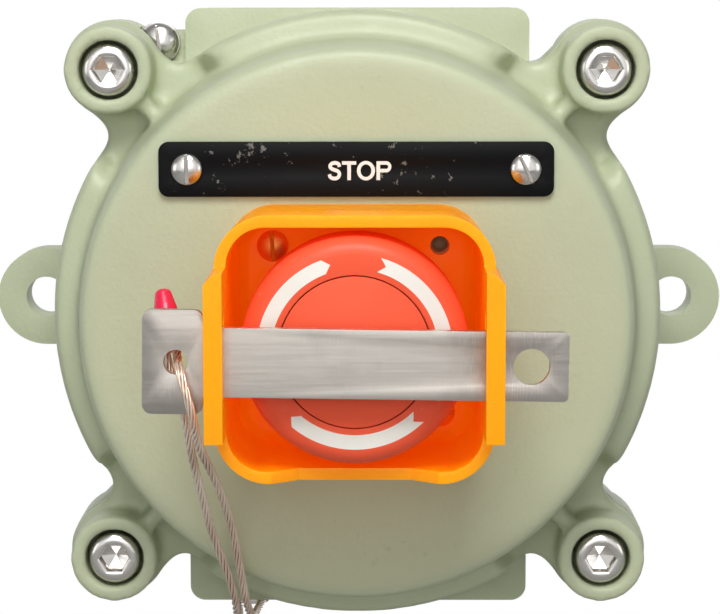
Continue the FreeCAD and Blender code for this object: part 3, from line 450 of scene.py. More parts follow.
def smoothing_group():
    """Geometry nodes that shade faces smoothly and keep edges over an angle sharp."""
    group = bpy.data.node_groups.get("shade_by_angle")
    if group:
        return group
    group, start, end = geometry_group("shade_by_angle", ["Angle"])
    faces = group.nodes.new("GeometryNodeSetShadeSmooth")
    edges = group.nodes.new("GeometryNodeSetShadeSmooth")
    edges.domain = "EDGE"
    edges.inputs["Shade Smooth"].default_value = False
    measure = group.nodes.new("GeometryNodeInputMeshEdgeAngle").outputs["Unsigned Angle"]
    sharp = add_math(group, "GREATER_THAN", measure, start.outputs["Angle"])
    link = group.links.new
    link(start.outputs["Geometry"], faces.inputs["Geometry"])
    link(faces.outputs["Geometry"], edges.inputs["Geometry"])
    link(sharp, edges.inputs["Selection"])
    link(edges.outputs["Geometry"], end.inputs["Geometry"])
    return group


def finish_solid(node, material, rounding=0.0, segments=2, sharp=math.radians(28)):
    """Gives a CAD node its material, smooth shading and, where asked, small rounded edges."""
    piece = frame["nodes"][node]
    if piece.material_slots:
        for material_slot in piece.material_slots:
            material_slot.material = material
    else:
        piece.data.materials.append(material)
    piece.modifiers.new("join_triangles", "WELD").merge_threshold = 1e-6
    if rounding:
        bevel = piece.modifiers.new("round_edges", "BEVEL")
        bevel.width = rounding
        bevel.segments = segments
        bevel.limit_method = "ANGLE"
        bevel.angle_limit = math.radians(38)
        bevel.use_clamp_overlap = True
    smooth = piece.modifiers.new("shade_by_angle", "NODES")
    smooth.node_group = smoothing_group()
    sockets = smooth.node_group.interface.items_tree
    smooth[next(item.identifier for item in sockets if item.name == "Angle")] = sharp
    return piece


def softening_group(lug_x, lug_z):
    """Geometry nodes that blur a casting's surface between its face and its rim, less so near
    the four lugs: the weight rises with r = hypot(x, z) and with the distance from a lug's axis."""
    group, start, end = geometry_group("soften_casting")
    place = group.nodes.new("GeometryNodeInputPosition").outputs["Position"]
    flat = add_vector_math(group, "MULTIPLY", place, (1.0, 0.0, 1.0))["Vector"]
    corner = add_vector_math(group, "ABSOLUTE", flat)["Vector"]
    reach = add_vector_math(group, "LENGTH", flat)["Value"]
    gap = add_vector_math(group, "DISTANCE", corner, (lug_x, 0.0, lug_z))["Value"]
    soft = add_math(
        group, "MULTIPLY", add_band(group, reach, *SOFT_BEYOND), add_band(group, gap, *LUG_SPARED))
    blur = group.nodes.new("GeometryNodeBlurAttribute")
    blur.data_type = "FLOAT_VECTOR"
    blur.inputs["Iterations"].default_value = SOFT_ROUNDS
    move = group.nodes.new("GeometryNodeSetPosition")
    link = group.links.new
    link(place, next(s for s in blur.inputs if s.name == "Value" and s.type == "VECTOR"))
    link(add_math(group, "MAXIMUM", soft, SOFT_LEAST), blur.inputs["Weight"])
    link(start.outputs["Geometry"], move.inputs["Geometry"])
    link(next(s for s in blur.outputs if s.type == "VECTOR"), move.inputs["Position"])
    link(move.outputs["Geometry"], end.inputs["Geometry"])
    return group


# Materials

def effect_group(name, inputs, outputs):
    """An empty shader node group with a vector input, and float inputs and outputs by name."""
    group = bpy.data.node_groups.new(name, "ShaderNodeTree")
    group.interface.new_socket("Vector", in_out="INPUT", socket_type="NodeSocketVector")
    for label, default in inputs:
        socket = group.interface.new_socket(label, in_out="INPUT", socket_type="NodeSocketFloat")
        socket.default_value = default
    for label in outputs:
        group.interface.new_socket(label, in_out="OUTPUT", socket_type="NodeSocketFloat")
    return group, group.nodes.new("NodeGroupInput"), group.nodes.new("NodeGroupOutput")


def set_or_link(group, value, socket):
    """Puts a number or a vector on a socket, or links another socket to it."""
    if isinstance(value, bpy.types.NodeSocket):
        group.links.new(value, socket)
    else:
        socket.default_value = value


def add_noise(group, scale, detail=3.0, roughness=0.55):
    """A noise texture in a node tree, its scale a number or a socket."""
    noise = group.nodes.new("ShaderNodeTexNoise")
    noise.inputs["Detail"].default_value = detail
    noise.inputs["Roughness"].default_value = roughness
    set_or_link(group, scale, noise.inputs["Scale"])
    return noise


def add_math(group, operation, first, second=0.0):
    """A math node on one or two sockets or numbers."""
    node = group.nodes.new("ShaderNodeMath")
    node.operation = operation
    set_or_link(group, first, node.inputs[0])
    set_or_link(group, second, node.inputs[1])
    return node.outputs[0]


def add_vector_math(group, operation, first, second=(0.0, 0.0, 0.0)):
    """The outputs of a vector math node on one or two sockets or vectors."""
    node = group.nodes.new("ShaderNodeVectorMath")
    node.operation = operation
    set_or_link(group, first, node.inputs[0])
    set_or_link(group, second, node.inputs[1])
    return node.outputs


def add_band(group, value, low, high):
    """A smooth step from 0 at one value to 1 at another."""
    node = group.nodes.new("ShaderNodeMapRange")
    node.interpolation_type = "SMOOTHSTEP"
    node.inputs["From Min"].default_value = low
    node.inputs["From Max"].default_value = high
    group.links.new(value, node.inputs["Value"])
    return node.outputs["Result"]


def skin_group():
    """Moulded or sprayed skin: a fine pebbled height and a broad, faint mottle."""
    group = bpy.data.node_groups.get("surface_skin")
    if group:
        return group
    group, start, end = effect_group(
        "surface_skin", [("Pebble Scale", 900.0), ("Mottle Scale", 45.0)], ["Height", "Mottle"])
    pebble = add_noise(group, start.outputs["Pebble Scale"], 2.0, 0.45)
    mottle = add_noise(group, start.outputs["Mottle Scale"], 4.0, 0.6)
    group.links.new(start.outputs["Vector"], pebble.inputs["Vector"])
    group.links.new(start.outputs["Vector"], mottle.inputs["Vector"])
    group.links.new(add_band(group, pebble.outputs["Fac"], 0.3, 0.7), end.inputs["Height"])
    group.links.new(add_band(group, mottle.outputs["Fac"], 0.32, 0.68), end.inputs["Mottle"])
    return group


def specks_group():
    """Dust and small scuffs: the sparse peaks of a fine noise, gathered in patches."""
    group = bpy.data.node_groups.get("dust_specks")
    if group:
        return group
    group, start, end = effect_group("dust_specks", [("Scale", 700.0), ("Cut", 0.66)], ["Mask"])
    fine = add_noise(group, start.outputs["Scale"], 3.0, 0.7)
    patch = add_noise(group, add_math(group, "MULTIPLY", start.outputs["Scale"], 0.09), 2.0, 0.5)
    for noise in (fine, patch):
        group.links.new(start.outputs["Vector"], noise.inputs["Vector"])
    gathered = add_math(
        group, "ADD", fine.outputs["Fac"],
        add_math(group, "MULTIPLY", add_math(group, "SUBTRACT", patch.outputs["Fac"], 0.5), 0.7))
    peak = add_math(group, "SUBTRACT", gathered, start.outputs["Cut"])
    group.links.new(add_band(group, peak, 0.0, 0.06), end.inputs["Mask"])
    return group


def grain_group():
    """Brushed metal: noise drawn out along one direction, as a fine grain and as long streaks."""
    group = bpy.data.node_groups.get("brushed_grain")
    if group:
        return group
    group, start, end = effect_group(
        "brushed_grain", [("Along", 40.0), ("Across", 2600.0)], ["Grain", "Streaks"])
    stretch = group.nodes.new("ShaderNodeCombineXYZ")
    for axis, label in (("X", "Along"), ("Y", "Across"), ("Z", "Across")):
        group.links.new(start.outputs[label], stretch.inputs[axis])
    drawn = add_vector_math(
        group, "MULTIPLY", start.outputs["Vector"], stretch.outputs["Vector"])["Vector"]
    fine = add_noise(group, 1.0, 4.0, 0.7)
    streak = add_noise(group, 0.16, 3.0, 0.6)
    for noise in (fine, streak):
        group.links.new(drawn, noise.inputs["Vector"])
    group.links.new(add_band(group, fine.outputs["Fac"], 0.3, 0.7), end.inputs["Grain"])
    group.links.new(add_band(group, streak.outputs["Fac"], 0.35, 0.65), end.inputs["Streaks"])
    return group


class Finish:
    """A Principled material under construction, with its plain values on the shader's sockets."""

    def __init__(self, name, colour, roughness, metallic=0.0, **plain):
        self.material = bpy.data.materials.new(name)
        self.material.use_nodes = True
        self.tree = self.material.node_tree
        self.shader = self.tree.nodes["Principled BSDF"]
        self.colour = (*colour, 1.0)
        self.shader.inputs["Base Color"].default_value = self.colour
        self.shader.inputs["Roughness"].default_value = roughness
        self.shader.inputs["Metallic"].default_value = metallic
        for label, value in plain.items():
            self.shader.inputs[label.replace("_", " ")].default_value = value
        self.place = self.tree.nodes.new("ShaderNodeTexCoord").outputs["Object"]

    def effect(self, group, **values):
        """Places a shared effect with its own values."""
        node = self.tree.nodes.new("ShaderNodeGroup")
        node.node_tree = group
        self.tree.links.new(self.place, node.inputs["Vector"])
        for label, value in values.items():
            node.inputs[label.replace("_", " ")].default_value = value
        return node.outputs

    def tint(self, mask, other, share=1.0):
        """Mixes another colour into the base by a mask."""
        mix = self.tree.nodes.new("ShaderNodeMix")
        mix.data_type = "RGBA"
        base = self.shader.inputs["Base Color"]
        if base.is_linked:
            self.tree.links.new(base.links[0].from_socket, mix.inputs["A"])
        else:
            mix.inputs["A"].default_value = self.colour
        mix.inputs["B"].default_value = (*other, 1.0)
        factor = mask if share == 1.0 else add_math(self.tree, "MULTIPLY", mask, share)
        self.tree.links.new(factor, mix.inputs["Factor"])
        self.tree.links.new(mix.outputs["Result"], base)

    def vary_roughness(self, mask, low, high):
        """Lets the roughness run between two values by a mask."""
        span = self.tree.nodes.new("ShaderNodeMapRange")
        span.inputs["To Min"].default_value = low
        span.inputs["To Max"].default_value = high
        self.tree.links.new(mask, span.inputs["Value"])
        self.tree.links.new(span.outputs["Result"], self.shader.inputs["Roughness"])

    def relief(self, height, distance, strength=1.0):
        """Adds a bump of a real height in metres, over any that is there."""
        bump = self.tree.nodes.new("ShaderNodeBump")
        bump.inputs["Strength"].default_value = strength
        bump.inputs["Distance"].default_value = distance
        self.tree.links.new(height, bump.inputs["Height"])
        normal = self.shader.inputs["Normal"]
        if normal.is_linked:
            self.tree.links.new(normal.links[0].from_socket, bump.inputs["Normal"])
        self.tree.links.new(bump.outputs["Normal"], normal)


def shade(colour, factor):
    """A darker or lighter version of a colour."""
    return tuple(min(1.0, channel * factor) for channel in colour)


def casting_paint(colour):
    """Satin paint with orange peel, faint mottle and a little dust."""
    finish = Finish("casting_paint", colour, 0.42)
    skin = finish.effect(skin_group(), Pebble_Scale=1150.0, Mottle_Scale=38.0)
    finish.tint(skin["Mottle"], shade(colour, 0.93), 0.6)
    dust = finish.effect(specks_group(), Scale=420.0, Cut=0.74)
    finish.tint(dust["Mask"], shade(colour, 0.7), 0.35)
    finish.vary_roughness(skin["Mottle"], 0.38, 0.5)
    finish.relief(skin["Height"], 0.05 * MM, 0.5)
    return finish.material


def moulded_plastic(name, colour, roughness, pebble, dust=None, **plain):
    """Injection-moulded plastic: fine skin, faint mottle and, where asked, pale scuffs."""
    finish = Finish(name, colour, roughness, **plain)
    skin = finish.effect(skin_group(), Pebble_Scale=pebble, Mottle_Scale=60.0)
    finish.tint(skin["Mottle"], shade(colour, 0.9), 0.5)
    if dust:
        specks = finish.effect(specks_group(), Scale=520.0, Cut=0.73)
        finish.tint(specks["Mask"], dust, 0.4)
    finish.vary_roughness(skin["Mottle"], roughness - 0.05, roughness + 0.07)
    finish.relief(skin["Height"], 0.02 * MM, 0.35)
    return finish.material


def bright_metal(name, colour, roughness, along=300.0, across=900.0, bump=0.004 * MM):
    """Machined or drawn metal with a light grain."""
    finish = Finish(name, colour, roughness, 1.0)
    grain = finish.effect(grain_group(), Along=along, Across=across)
    finish.tint(grain["Streaks"], shade(colour, 0.8), 0.5)
    finish.vary_roughness(grain["Grain"], roughness - 0.06, roughness + 0.08)
    finish.relief(grain["Grain"], bump, 0.3)
    return finish.material


def bar_steel(colour):
    """Flat stainless bar, brushed along its length, with scratches across it, broad dark clouds of
    painted reflection, dull scuffs, and darker towards its ends and at the rim of its wide end."""
    finish = Finish("bar_steel", colour, 0.36, 1.0, Anisotropic=0.5)
    tree = finish.tree
    # painted_sheen: broad dark clouds painted into the bar's colour, standing in for the reflections
    # that vary along the bar; they also gate where the scratches show.
    painted_sheen = finish.effect(skin_group(), Pebble_Scale=1200.0, Mottle_Scale=26.0)
    finish.tint(add_band(tree, painted_sheen["Mottle"], 0.2, 0.85), shade(colour, 0.5), 0.75)
    grain = finish.effect(grain_group(), Along=45.0, Across=2400.0)
    finish.tint(grain["Streaks"], shade(colour, 0.8), 0.3)
    scratches = finish.effect(grain_group(), Along=5200.0, Across=260.0)
    worn = add_math(tree, "MULTIPLY", add_band(tree, scratches["Grain"], 0.6, 1.0), painted_sheen["Mottle"])
    finish.tint(worn, shade(colour, 1.35), 0.45)
    split = tree.nodes.new("ShaderNodeSeparateXYZ")
    tree.links.new(finish.place, split.inputs["Vector"])
    along, level = split.outputs["X"], add_math(tree, "ABSOLUTE", split.outputs["Z"])
    # The colour runs darker at the wide end and round its rim (|z| past 5 mm), and towards the other
    # end.
    wide_end = add_band(tree, along, -31.5 * MM, -36.0 * MM)
    rim = add_math(tree, "MAXIMUM", add_band(tree, level, 5.0 * MM, 9.0 * MM), wide_end)
    finish.tint(rim, shade(colour, 0.5), 0.9)
    finish.tint(add_band(tree, along, 30.0 * MM, 37.0 * MM), shade(colour, 0.6), 0.6)
    scuffs = finish.effect(specks_group(), Scale=260.0, Cut=0.72)
    finish.tint(scuffs["Mask"], shade(colour, 0.4), 0.6)
    finish.vary_roughness(grain["Grain"], 0.28, 0.46)
    finish.relief(grain["Grain"], 0.006 * MM, 0.4)
    finish.relief(worn, 0.003 * MM, 0.3)
    return finish.material


def rope_wire(colour):
    """Bright drawn wire with brown tarnish in patches along the rope."""
    finish = Finish("rope_wire", colour, 0.2, 0.6)
    patches = finish.effect(skin_group(), Pebble_Scale=900.0, Mottle_Scale=70.0)
    finish.tint(patches["Mottle"], (0.5, 0.27, 0.16), 0.5)
    finish.vary_roughness(patches["Height"], 0.16, 0.26)
    return finish.material


def plate_lacquer(colour):
    """Black lacquer with grey dust in patches."""
    finish = Finish("plate_lacquer", colour, 0.38, Specular_IOR_Level=0.1)
    specks = finish.effect(specks_group(), Scale=560.0, Cut=0.64)
    finish.tint(specks["Mask"], (0.3, 0.3, 0.28), 0.5)
    skin = finish.effect(skin_group(), Pebble_Scale=1600.0, Mottle_Scale=70.0)
    finish.vary_roughness(skin["Mottle"], 0.3, 0.46)
    finish.relief(skin["Height"], 0.01 * MM, 0.3)
    return finish.material


def shared_metal(name, colour, roughness):
    """A metal that several steps use, made once."""
    return bpy.data.materials.get(name) or bright_metal(name, colour, roughness)


def steel_finish():
    """Bright steel of the screws."""
    return shared_metal("screw_steel", bpy.context.scene.station_finish.steel, 0.2)


def brass_finish():
    """Turned brass of the inner pieces."""
    return shared_metal("turned_brass", bpy.context.scene.station_finish.brass, 0.26)


# Operators

class STATION_OT_castings(bpy.types.Operator):
    """Paint the cast body and cover, and cut the conduit threads"""

    bl_idname = "station.castings"
    bl_label = "Castings"

    def execute(self, context):
        paint = casting_paint(context.scene.station_finish.paint)
        finish_solid("enclosure_body", paint, 0.8 * MM, 3, math.radians(55))
        cover = finish_solid("cover", paint, sharp=math.radians(60))
        even = cover.modifiers.new("even_skin", "REMESH")
        even.mode = "VOXEL"
        even.voxel_size = SKIN_VOXEL
        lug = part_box("cover_screws")[1].x - SOCKET_HEAD_R
        soft = cover.modifiers.new("soften_casting", "NODES")
        soft.node_group = softening_group(lug, lug)
        cover.modifiers.new("fewer_triangles", "DECIMATE").ratio = SKIN_KEPT
        cover.modifiers.move(cover.modifiers.find("shade_by_angle"), len(cover.modifiers) - 1)
        mount = next(m for m in frame["record"]["mounts"] if m["name"] == "conduit_top")
        threads = self.conduit_threads(mount["dims"]["r_mm"] * MM, mount["pos_m"][1])
        new_piece("conduit_threads", threads, steel_finish(), "station")
        return {"FINISHED"}

    def conduit_threads(self, bore, middle):
        """Threads in both hubs: r = bore - depth * wave(d, a), shut by a wall just inside the
        bore, and turned from the axis out of the wall to the upright one."""
        skin, chamfer, turns, steps = 0.01 * MM, 0.8 * MM, 8, 6
        mouth = CAD_BOX[1][2] - chamfer
        depth = np.linspace(mouth - CONDUIT_LENGTH, mouth, turns * steps)
        angle = np.linspace(0.0, TAU, 72, endpoint=False)
        crest = bore - 2 * skin - CONDUIT_DEPTH * thread_wave(depth, angle, CONDUIT_PITCH)
        wall = np.full((1, angle.size), bore - skin)
        radius = np.concatenate([wall, crest, wall, wall])
        depth = np.concatenate([depth[:1], depth, depth[-1:], depth[:1]])
        points, quads = turned(radius, depth, angle.size)
        x, y, z = points.T
        return [(np.stack([x, z + middle, -y * side], axis=-1), quads) for side in (1.0, -1.0)]


class STATION_OT_cover_screws(bpy.types.Operator):
    """Socket-head screws with knurl and hexagon, and their washers"""

    bl_idname = "station.cover_screws"
    bl_label = "Cover screws"

    def execute(self, context):
        detail = context.scene.station_detail
        steel = steel_finish()
        low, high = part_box("cover_screws")
        seat, top = -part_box("cover_screw_washers")[0].y, -low.y
        pitch = high.x - SOCKET_HEAD_R
        parts = []
        for spot in ((pitch, pitch), (-pitch, pitch), (-pitch, -pitch), (pitch, -pitch)):
            parts.append(socket_head(detail, SOCKET_HEAD_R, seat, top, spot))
            parts.append(threaded_shank(*THREADS["M6"], -high.y, seat, spot))
        screws = new_piece("socket_screws", parts, steel, "station")
        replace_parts(screws, "cover_screws")
        finish_solid("cover_screw_washers", steel, 0.15 * MM)
        return {"FINISHED"}


class STATION_OT_slotted_screws(bpy.types.Operator):
    """Slotted round-head screws of the legend plate, the guard and the earth terminal"""

    bl_idname = "station.slotted_screws"
    bl_label = "Slotted screws"

    def execute(self, context):
        detail = context.scene.station_detail
        steel = steel_finish()
        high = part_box("legend_plate_screws")[1]
        across, level = high.x - ROUND_HEAD_R, high.z - ROUND_HEAD_R
        spots = ((-across, level, 0.02), (across, level, math.radians(24)))
        parts = self.round_heads(detail, "legend_plate_screws", -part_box("legend_plate")[0].y, spots)
        legend = new_piece("legend_round_heads", parts, steel, "station")
        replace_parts(legend, "legend_plate_screws")
        low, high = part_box("guard_screws")
        spot = high.x - ROUND_HEAD_R
        spots = ((-spot, spot, 0.05), (spot, -spot, math.radians(86)))
        parts = self.round_heads(detail, "guard_screws", -low.y - GUARD_HEAD_HEIGHT, spots)
        # The guard's screws take a painted reflection: an orange-yellow metal colour that stands in
        # for the guard's orange reflected in them.
        orange_reflection = bright_metal("yellow_zinc", context.scene.station_finish.orange_reflection, 0.4)
        guard = new_piece("guard_round_heads", parts, orange_reflection, "station")
        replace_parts(guard, "guard_screws")
        for name, replaced, turn, metal, slot in (
                ("earth_round_head", "earth_screw", 0.1, steel, "bright_steel"),
                ("inner_earth_head", "inner_earth_screw", 0.8, brass_finish(), "turned_brass")):
            low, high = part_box(replaced)
            centre = ((low.x + high.x) / 2, (low.z + high.z) / 2)
            seat, radius = -low.y - EARTH_HEAD_HEIGHT, (high.x - low.x) / 2
            parts = [
                slotted_head(detail, radius, seat, -low.y, turn, centre, 0.12),
                threaded_shank(*THREADS["M4"], -high.y, seat, centre, SMALL_SHANK_SIDES),
            ]
            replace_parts(new_piece(name, parts, metal, "station"), replaced)
        finish_solid("earth_washer", steel, 0.15 * MM)
        return {"FINISHED"}

    def round_heads(self, detail, node, seat, spots):
        """Heads and shanks at (x, z, turn of the slot), as deep as a node's box."""
        low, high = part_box(node)
        parts = []
        for x, z, turn in spots:
            parts.append(slotted_head(detail, ROUND_HEAD_R, seat, -low.y, turn, (x, z)))
            parts.append(threaded_shank(*THREADS["M3"], -high.y, seat, (x, z), SMALL_SHANK_SIDES))
        return parts


class STATION_OT_legend(bpy.types.Operator):
    """Black plate with its printed word"""

    bl_idname = "station.legend"
    bl_label = "Legend plate"

    def execute(self, context):
        colours, detail = context.scene.station_finish, context.scene.station_detail
        finish_solid("legend_plate", plate_lacquer(colours.plate), 0.12 * MM)
        low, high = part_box("legend_plate")
        ink = moulded_plastic("letter_ink", colours.letter, 0.5, 1500.0, (0.3, 0.3, 0.3))
        size = (detail.word_width / LETTERS_WIDTH, detail.letter_height)
        left = WORD_SHIFT[0] - detail.word_width / 2
        foot = (low.z + high.z - detail.letter_height) / 2 + WORD_SHIFT[1]
        parts = [self.standing(edges, (left, foot), size, low.y) for edges in letter_strokes()]
        parts.append(self.standing_ring((left, foot), size, low.y))
        new_piece("legend_word", parts, ink, "station", math.radians(30))
        return {"FINISHED"}

    def standing(self, edges, corner, size, face):
        """A thin plate on the legend's face from a stroke's two edges, rows of ((u, v), (u, v))."""
        x, z = corner[0] + edges[..., 0] * size[0], corner[1] + edges[..., 1] * size[1]
        front, back = np.full_like(x, face - PRINT_DEPTH), np.full_like(x, face)
        return plate_between(np.stack([x, front, z], axis=-1), np.stack([x, back, z], axis=-1))

    def standing_ring(self, corner, size, face):
        """The round letter: one closed grid between an outer and an inner ellipse,
        (u, v) = m + k (a cos q, b sin q)."""
        angle = np.linspace(0.0, TAU, 64, endpoint=False)
        outer = np.stack([0.525 * np.cos(angle), 0.515 * np.sin(angle)], axis=-1)
        inner = np.stack([0.315 * np.cos(angle), 0.335 * np.sin(angle)], axis=-1)
        rows = np.stack([outer, inner, inner, outer, outer]) + RING_MIDDLE
        front, back = face - PRINT_DEPTH, face
        depth = np.array([front, front, back, back, front])[:, None] + 0 * rows[..., 0]
        x, z = corner[0] + rows[..., 0] * size[0], corner[1] + rows[..., 1] * size[1]
        return np.stack([x, depth, z], axis=-1).reshape(-1, 3), grid_quads(5, angle.size, True)


class STATION_OT_guard(bpy.types.Operator):
    """Moulded orange guard that lets light through, with a painted glow: a faint orange emission that
    brightens its shaded inside
    """

    bl_idname = "station.guard"
    bl_label = "Guard"

    def execute(self, context):
        colour = context.scene.station_finish.guard
        # The emission is painted light: a faint orange glow that lifts the guard's shaded inside,
        # though the guard is no lamp.
        plastic = moulded_plastic(
            "guard_plastic", colour, 0.38, 1300.0, Specular_IOR_Level=0.3, Subsurface_Weight=0.4,
            Subsurface_Scale=4.0 * MM, Subsurface_Radius=(1.0, 0.4, 0.05),
            Emission_Color=(1.0, 0.1, 0.0, 1.0), Emission_Strength=0.22)
        finish_solid("button_guard", plastic, 0.5 * MM, 3)
        return {"FINISHED"}


class STATION_OT_button(bpy.types.Operator):
    """Red mushroom head with three printed arrows that show the turn to release"""

    bl_idname = "station.button"
    bl_label = "Button"

    def execute(self, context):
        colours, detail = context.scene.station_finish, context.scene.station_detail
        red = moulded_plastic(
            "button_plastic", colours.button, 0.42, 1500.0, (0.9, 0.55, 0.5),
            Specular_IOR_Level=0.25)
        finish_solid("mushroom_head", red, 0.5 * MM, 3)
        finish_solid("head_cap", red, 0.5 * MM, 3)
        white = moulded_plastic("arrow_print", colours.arrow, 0.5, 1500.0, (0.75, 0.45, 0.38))
        face = -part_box("mushroom_head")[0].y
        parts = [self.arrow(detail, face, math.radians(turn)) for turn in (30, 150, 270)]
        new_piece("turn_arrows", parts, white, "head")
        return {"FINISHED"}

    def arrow(self, detail, face, middle):
        """A curved band between two radii. Its angle runs from a swallow tail to a blunt point:
        the ends shift with the place t across the band by |2t - 1|."""
        notch, above, below = math.radians(4.5), 0.03 * MM, 0.1 * MM
        along = np.linspace(0.0, 1.0, 40)[:, None]
        across = np.linspace(0.0, 1.0, 13)[None, :]
        fork = np.abs(2 * across - 1)
        tail = middle + detail.arrow_span / 2 - notch * (1 - fork)
        point = middle - detail.arrow_span / 2 + notch * fork
        angle = tail + along * (point - tail)
        width = detail.arrow_outer - detail.arrow_inner
        radius = detail.arrow_inner + across * width + 0 * along
        x, z = radius * np.cos(angle), radius * np.sin(angle)
        upper = np.stack([x, np.full_like(x, -face - above), z], axis=-1)
        lower = np.stack([x, np.full_like(x, -face + below), z], axis=-1)
        return plate_between(upper, lower)


class STATION_OT_lock_bar(bpy.types.Operator):
    """Brushed steel bar through the guard"""

    bl_idname = "station.lock_bar"
    bl_label = "Lock bar"

    def execute(self, context):
        finish_solid("lock_bar", bar_steel(context.scene.station_finish.bar), 0.7 * MM, 4)
        return {"FINISHED"}


class STATION_OT_lanyard(bpy.types.Operator):
    """Stranded wire rope, its red sleeve and its anchor screw"""

    bl_idname = "station.lanyard"
    bl_label = "Lanyard"

    def execute(self, context):
        colours, detail = context.scene.station_finish, context.scene.station_detail
        line = self.rope_line(context)
        steps = np.linalg.norm(np.diff(line, axis=0), axis=1)
        run = np.concatenate([[0.0], np.cumsum(steps)])
        across, upwards = frames_along(line)
        rope_r = 0.8 * MM
        core_r, strand_r = 0.33 * rope_r, 0.3 * rope_r
        parts = [tube_along(line, across, upwards, core_r, 8)]
        for strand in range(detail.rope_strands):
            angle = (strand / detail.rope_strands + run / detail.rope_lay)[:, None] * TAU
            offset = np.cos(angle) * across + np.sin(angle) * upwards
            centre = line + (rope_r - strand_r) * offset
            parts.append(tube_along(centre, across, upwards, strand_r, 10))
        rope = new_piece(
            "lanyard_strands", parts, rope_wire(colours.rope), None, math.radians(60))
        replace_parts(rope, "lanyard_rope")
        sleeve = finish_solid(
            "lanyard_sleeve", moulded_plastic("sleeve_plastic", colours.sleeve, 0.3, 1400.0))
        anchor = finish_solid("lanyard_anchor", steel_finish(), 0.25 * MM)
        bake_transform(rope)
        return {"FINISHED"}

    def rope_line(self, context):
        """Points along the smooth line that the route's points control."""
        curve = bpy.data.curves.new("rope_line", "CURVE")
        curve.dimensions = "3D"
        curve.resolution_u = 24
        spline = curve.splines.new("NURBS")
        spline.points.add(len(ROPE_ROUTE) - 1)
        for point, spot in zip(spline.points, ROPE_ROUTE):
            point.co = (*spot, 1.0)
        spline.order_u = 3
        spline.use_endpoint_u = True
        guide = bpy.data.objects.new("rope_line", curve)
        context.scene.collection.objects.link(guide)
        context.view_layer.update()
        smooth = guide.evaluated_get(context.evaluated_depsgraph_get())
        mesh = bpy.data.meshes.new_from_object(smooth)
        line = np.empty((len(mesh.vertices), 3), np.float32)
        mesh.vertices.foreach_get("co", line.ravel())
        bpy.data.objects.remove(guide)
        bpy.data.curves.remove(curve)
        bpy.data.meshes.remove(mesh)
        return line.astype(float)


class STATION_OT_inner_works(bpy.types.Operator):
    """Shaft, bush, springs, contact block and seals behind the cover"""

    bl_idname = "station.inner_works"
    bl_label = "Inner works"

    def execute(self, context):
        colours, detail = context.scene.station_finish, context.scene.station_detail
        steel, brass = steel_finish(), brass_finish()
        rubber = moulded_plastic("seal_rubber", colours.rubber, 0.7, 1800.0)
        block = moulded_plastic("block_thermoset", colours.block, 0.55, 1100.0, (0.3, 0.28, 0.25))
        for node in ("cover_seal", "bush_seal"):
            finish_solid(node, rubber)
        for node in ("actuator_bush", "bush_locknut", "contact_bridge", "fixed_contacts"):
            finish_solid(node, brass, 0.2 * MM)
        for node in ("actuator_shaft", "shaft_clip", "terminal_screws", "contact_block_screws"):
            finish_solid(node, steel, 0.15 * MM)
        for node in ("contact_base", "contact_block", "contact_carrier"):
            finish_solid(node, block, 0.25 * MM)
        wire = bright_metal("spring_wire", shade(colours.steel, 0.7), 0.3)
        for node, turns, wire_r in SPRINGS:
            low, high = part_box(node)
            parts = [self.coil((high.x - low.x) / 2 - wire_r, low.y, high.y, turns, wire_r)]
            coil = new_piece(node + "_coil", parts, wire, "station")
            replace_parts(coil, node)
            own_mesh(coil)
        return {"FINISHED"}

    def coil(self, coil_r, front, back, turns, wire_r):
        """Round wire along a helix about the button's axis, (r cos a, y, r sin a), between two
        depths that its wire touches."""
        share = np.linspace(0.0, 1.0, int(turns * 40))
        angle = share * turns * TAU
        depth = -back + wire_r + share * (back - front - 2 * wire_r)
        line = np.stack([coil_r * np.cos(angle), -depth, coil_r * np.sin(angle)], axis=-1)
        return tube_along(line, *frames_along(line), wire_r, 10)


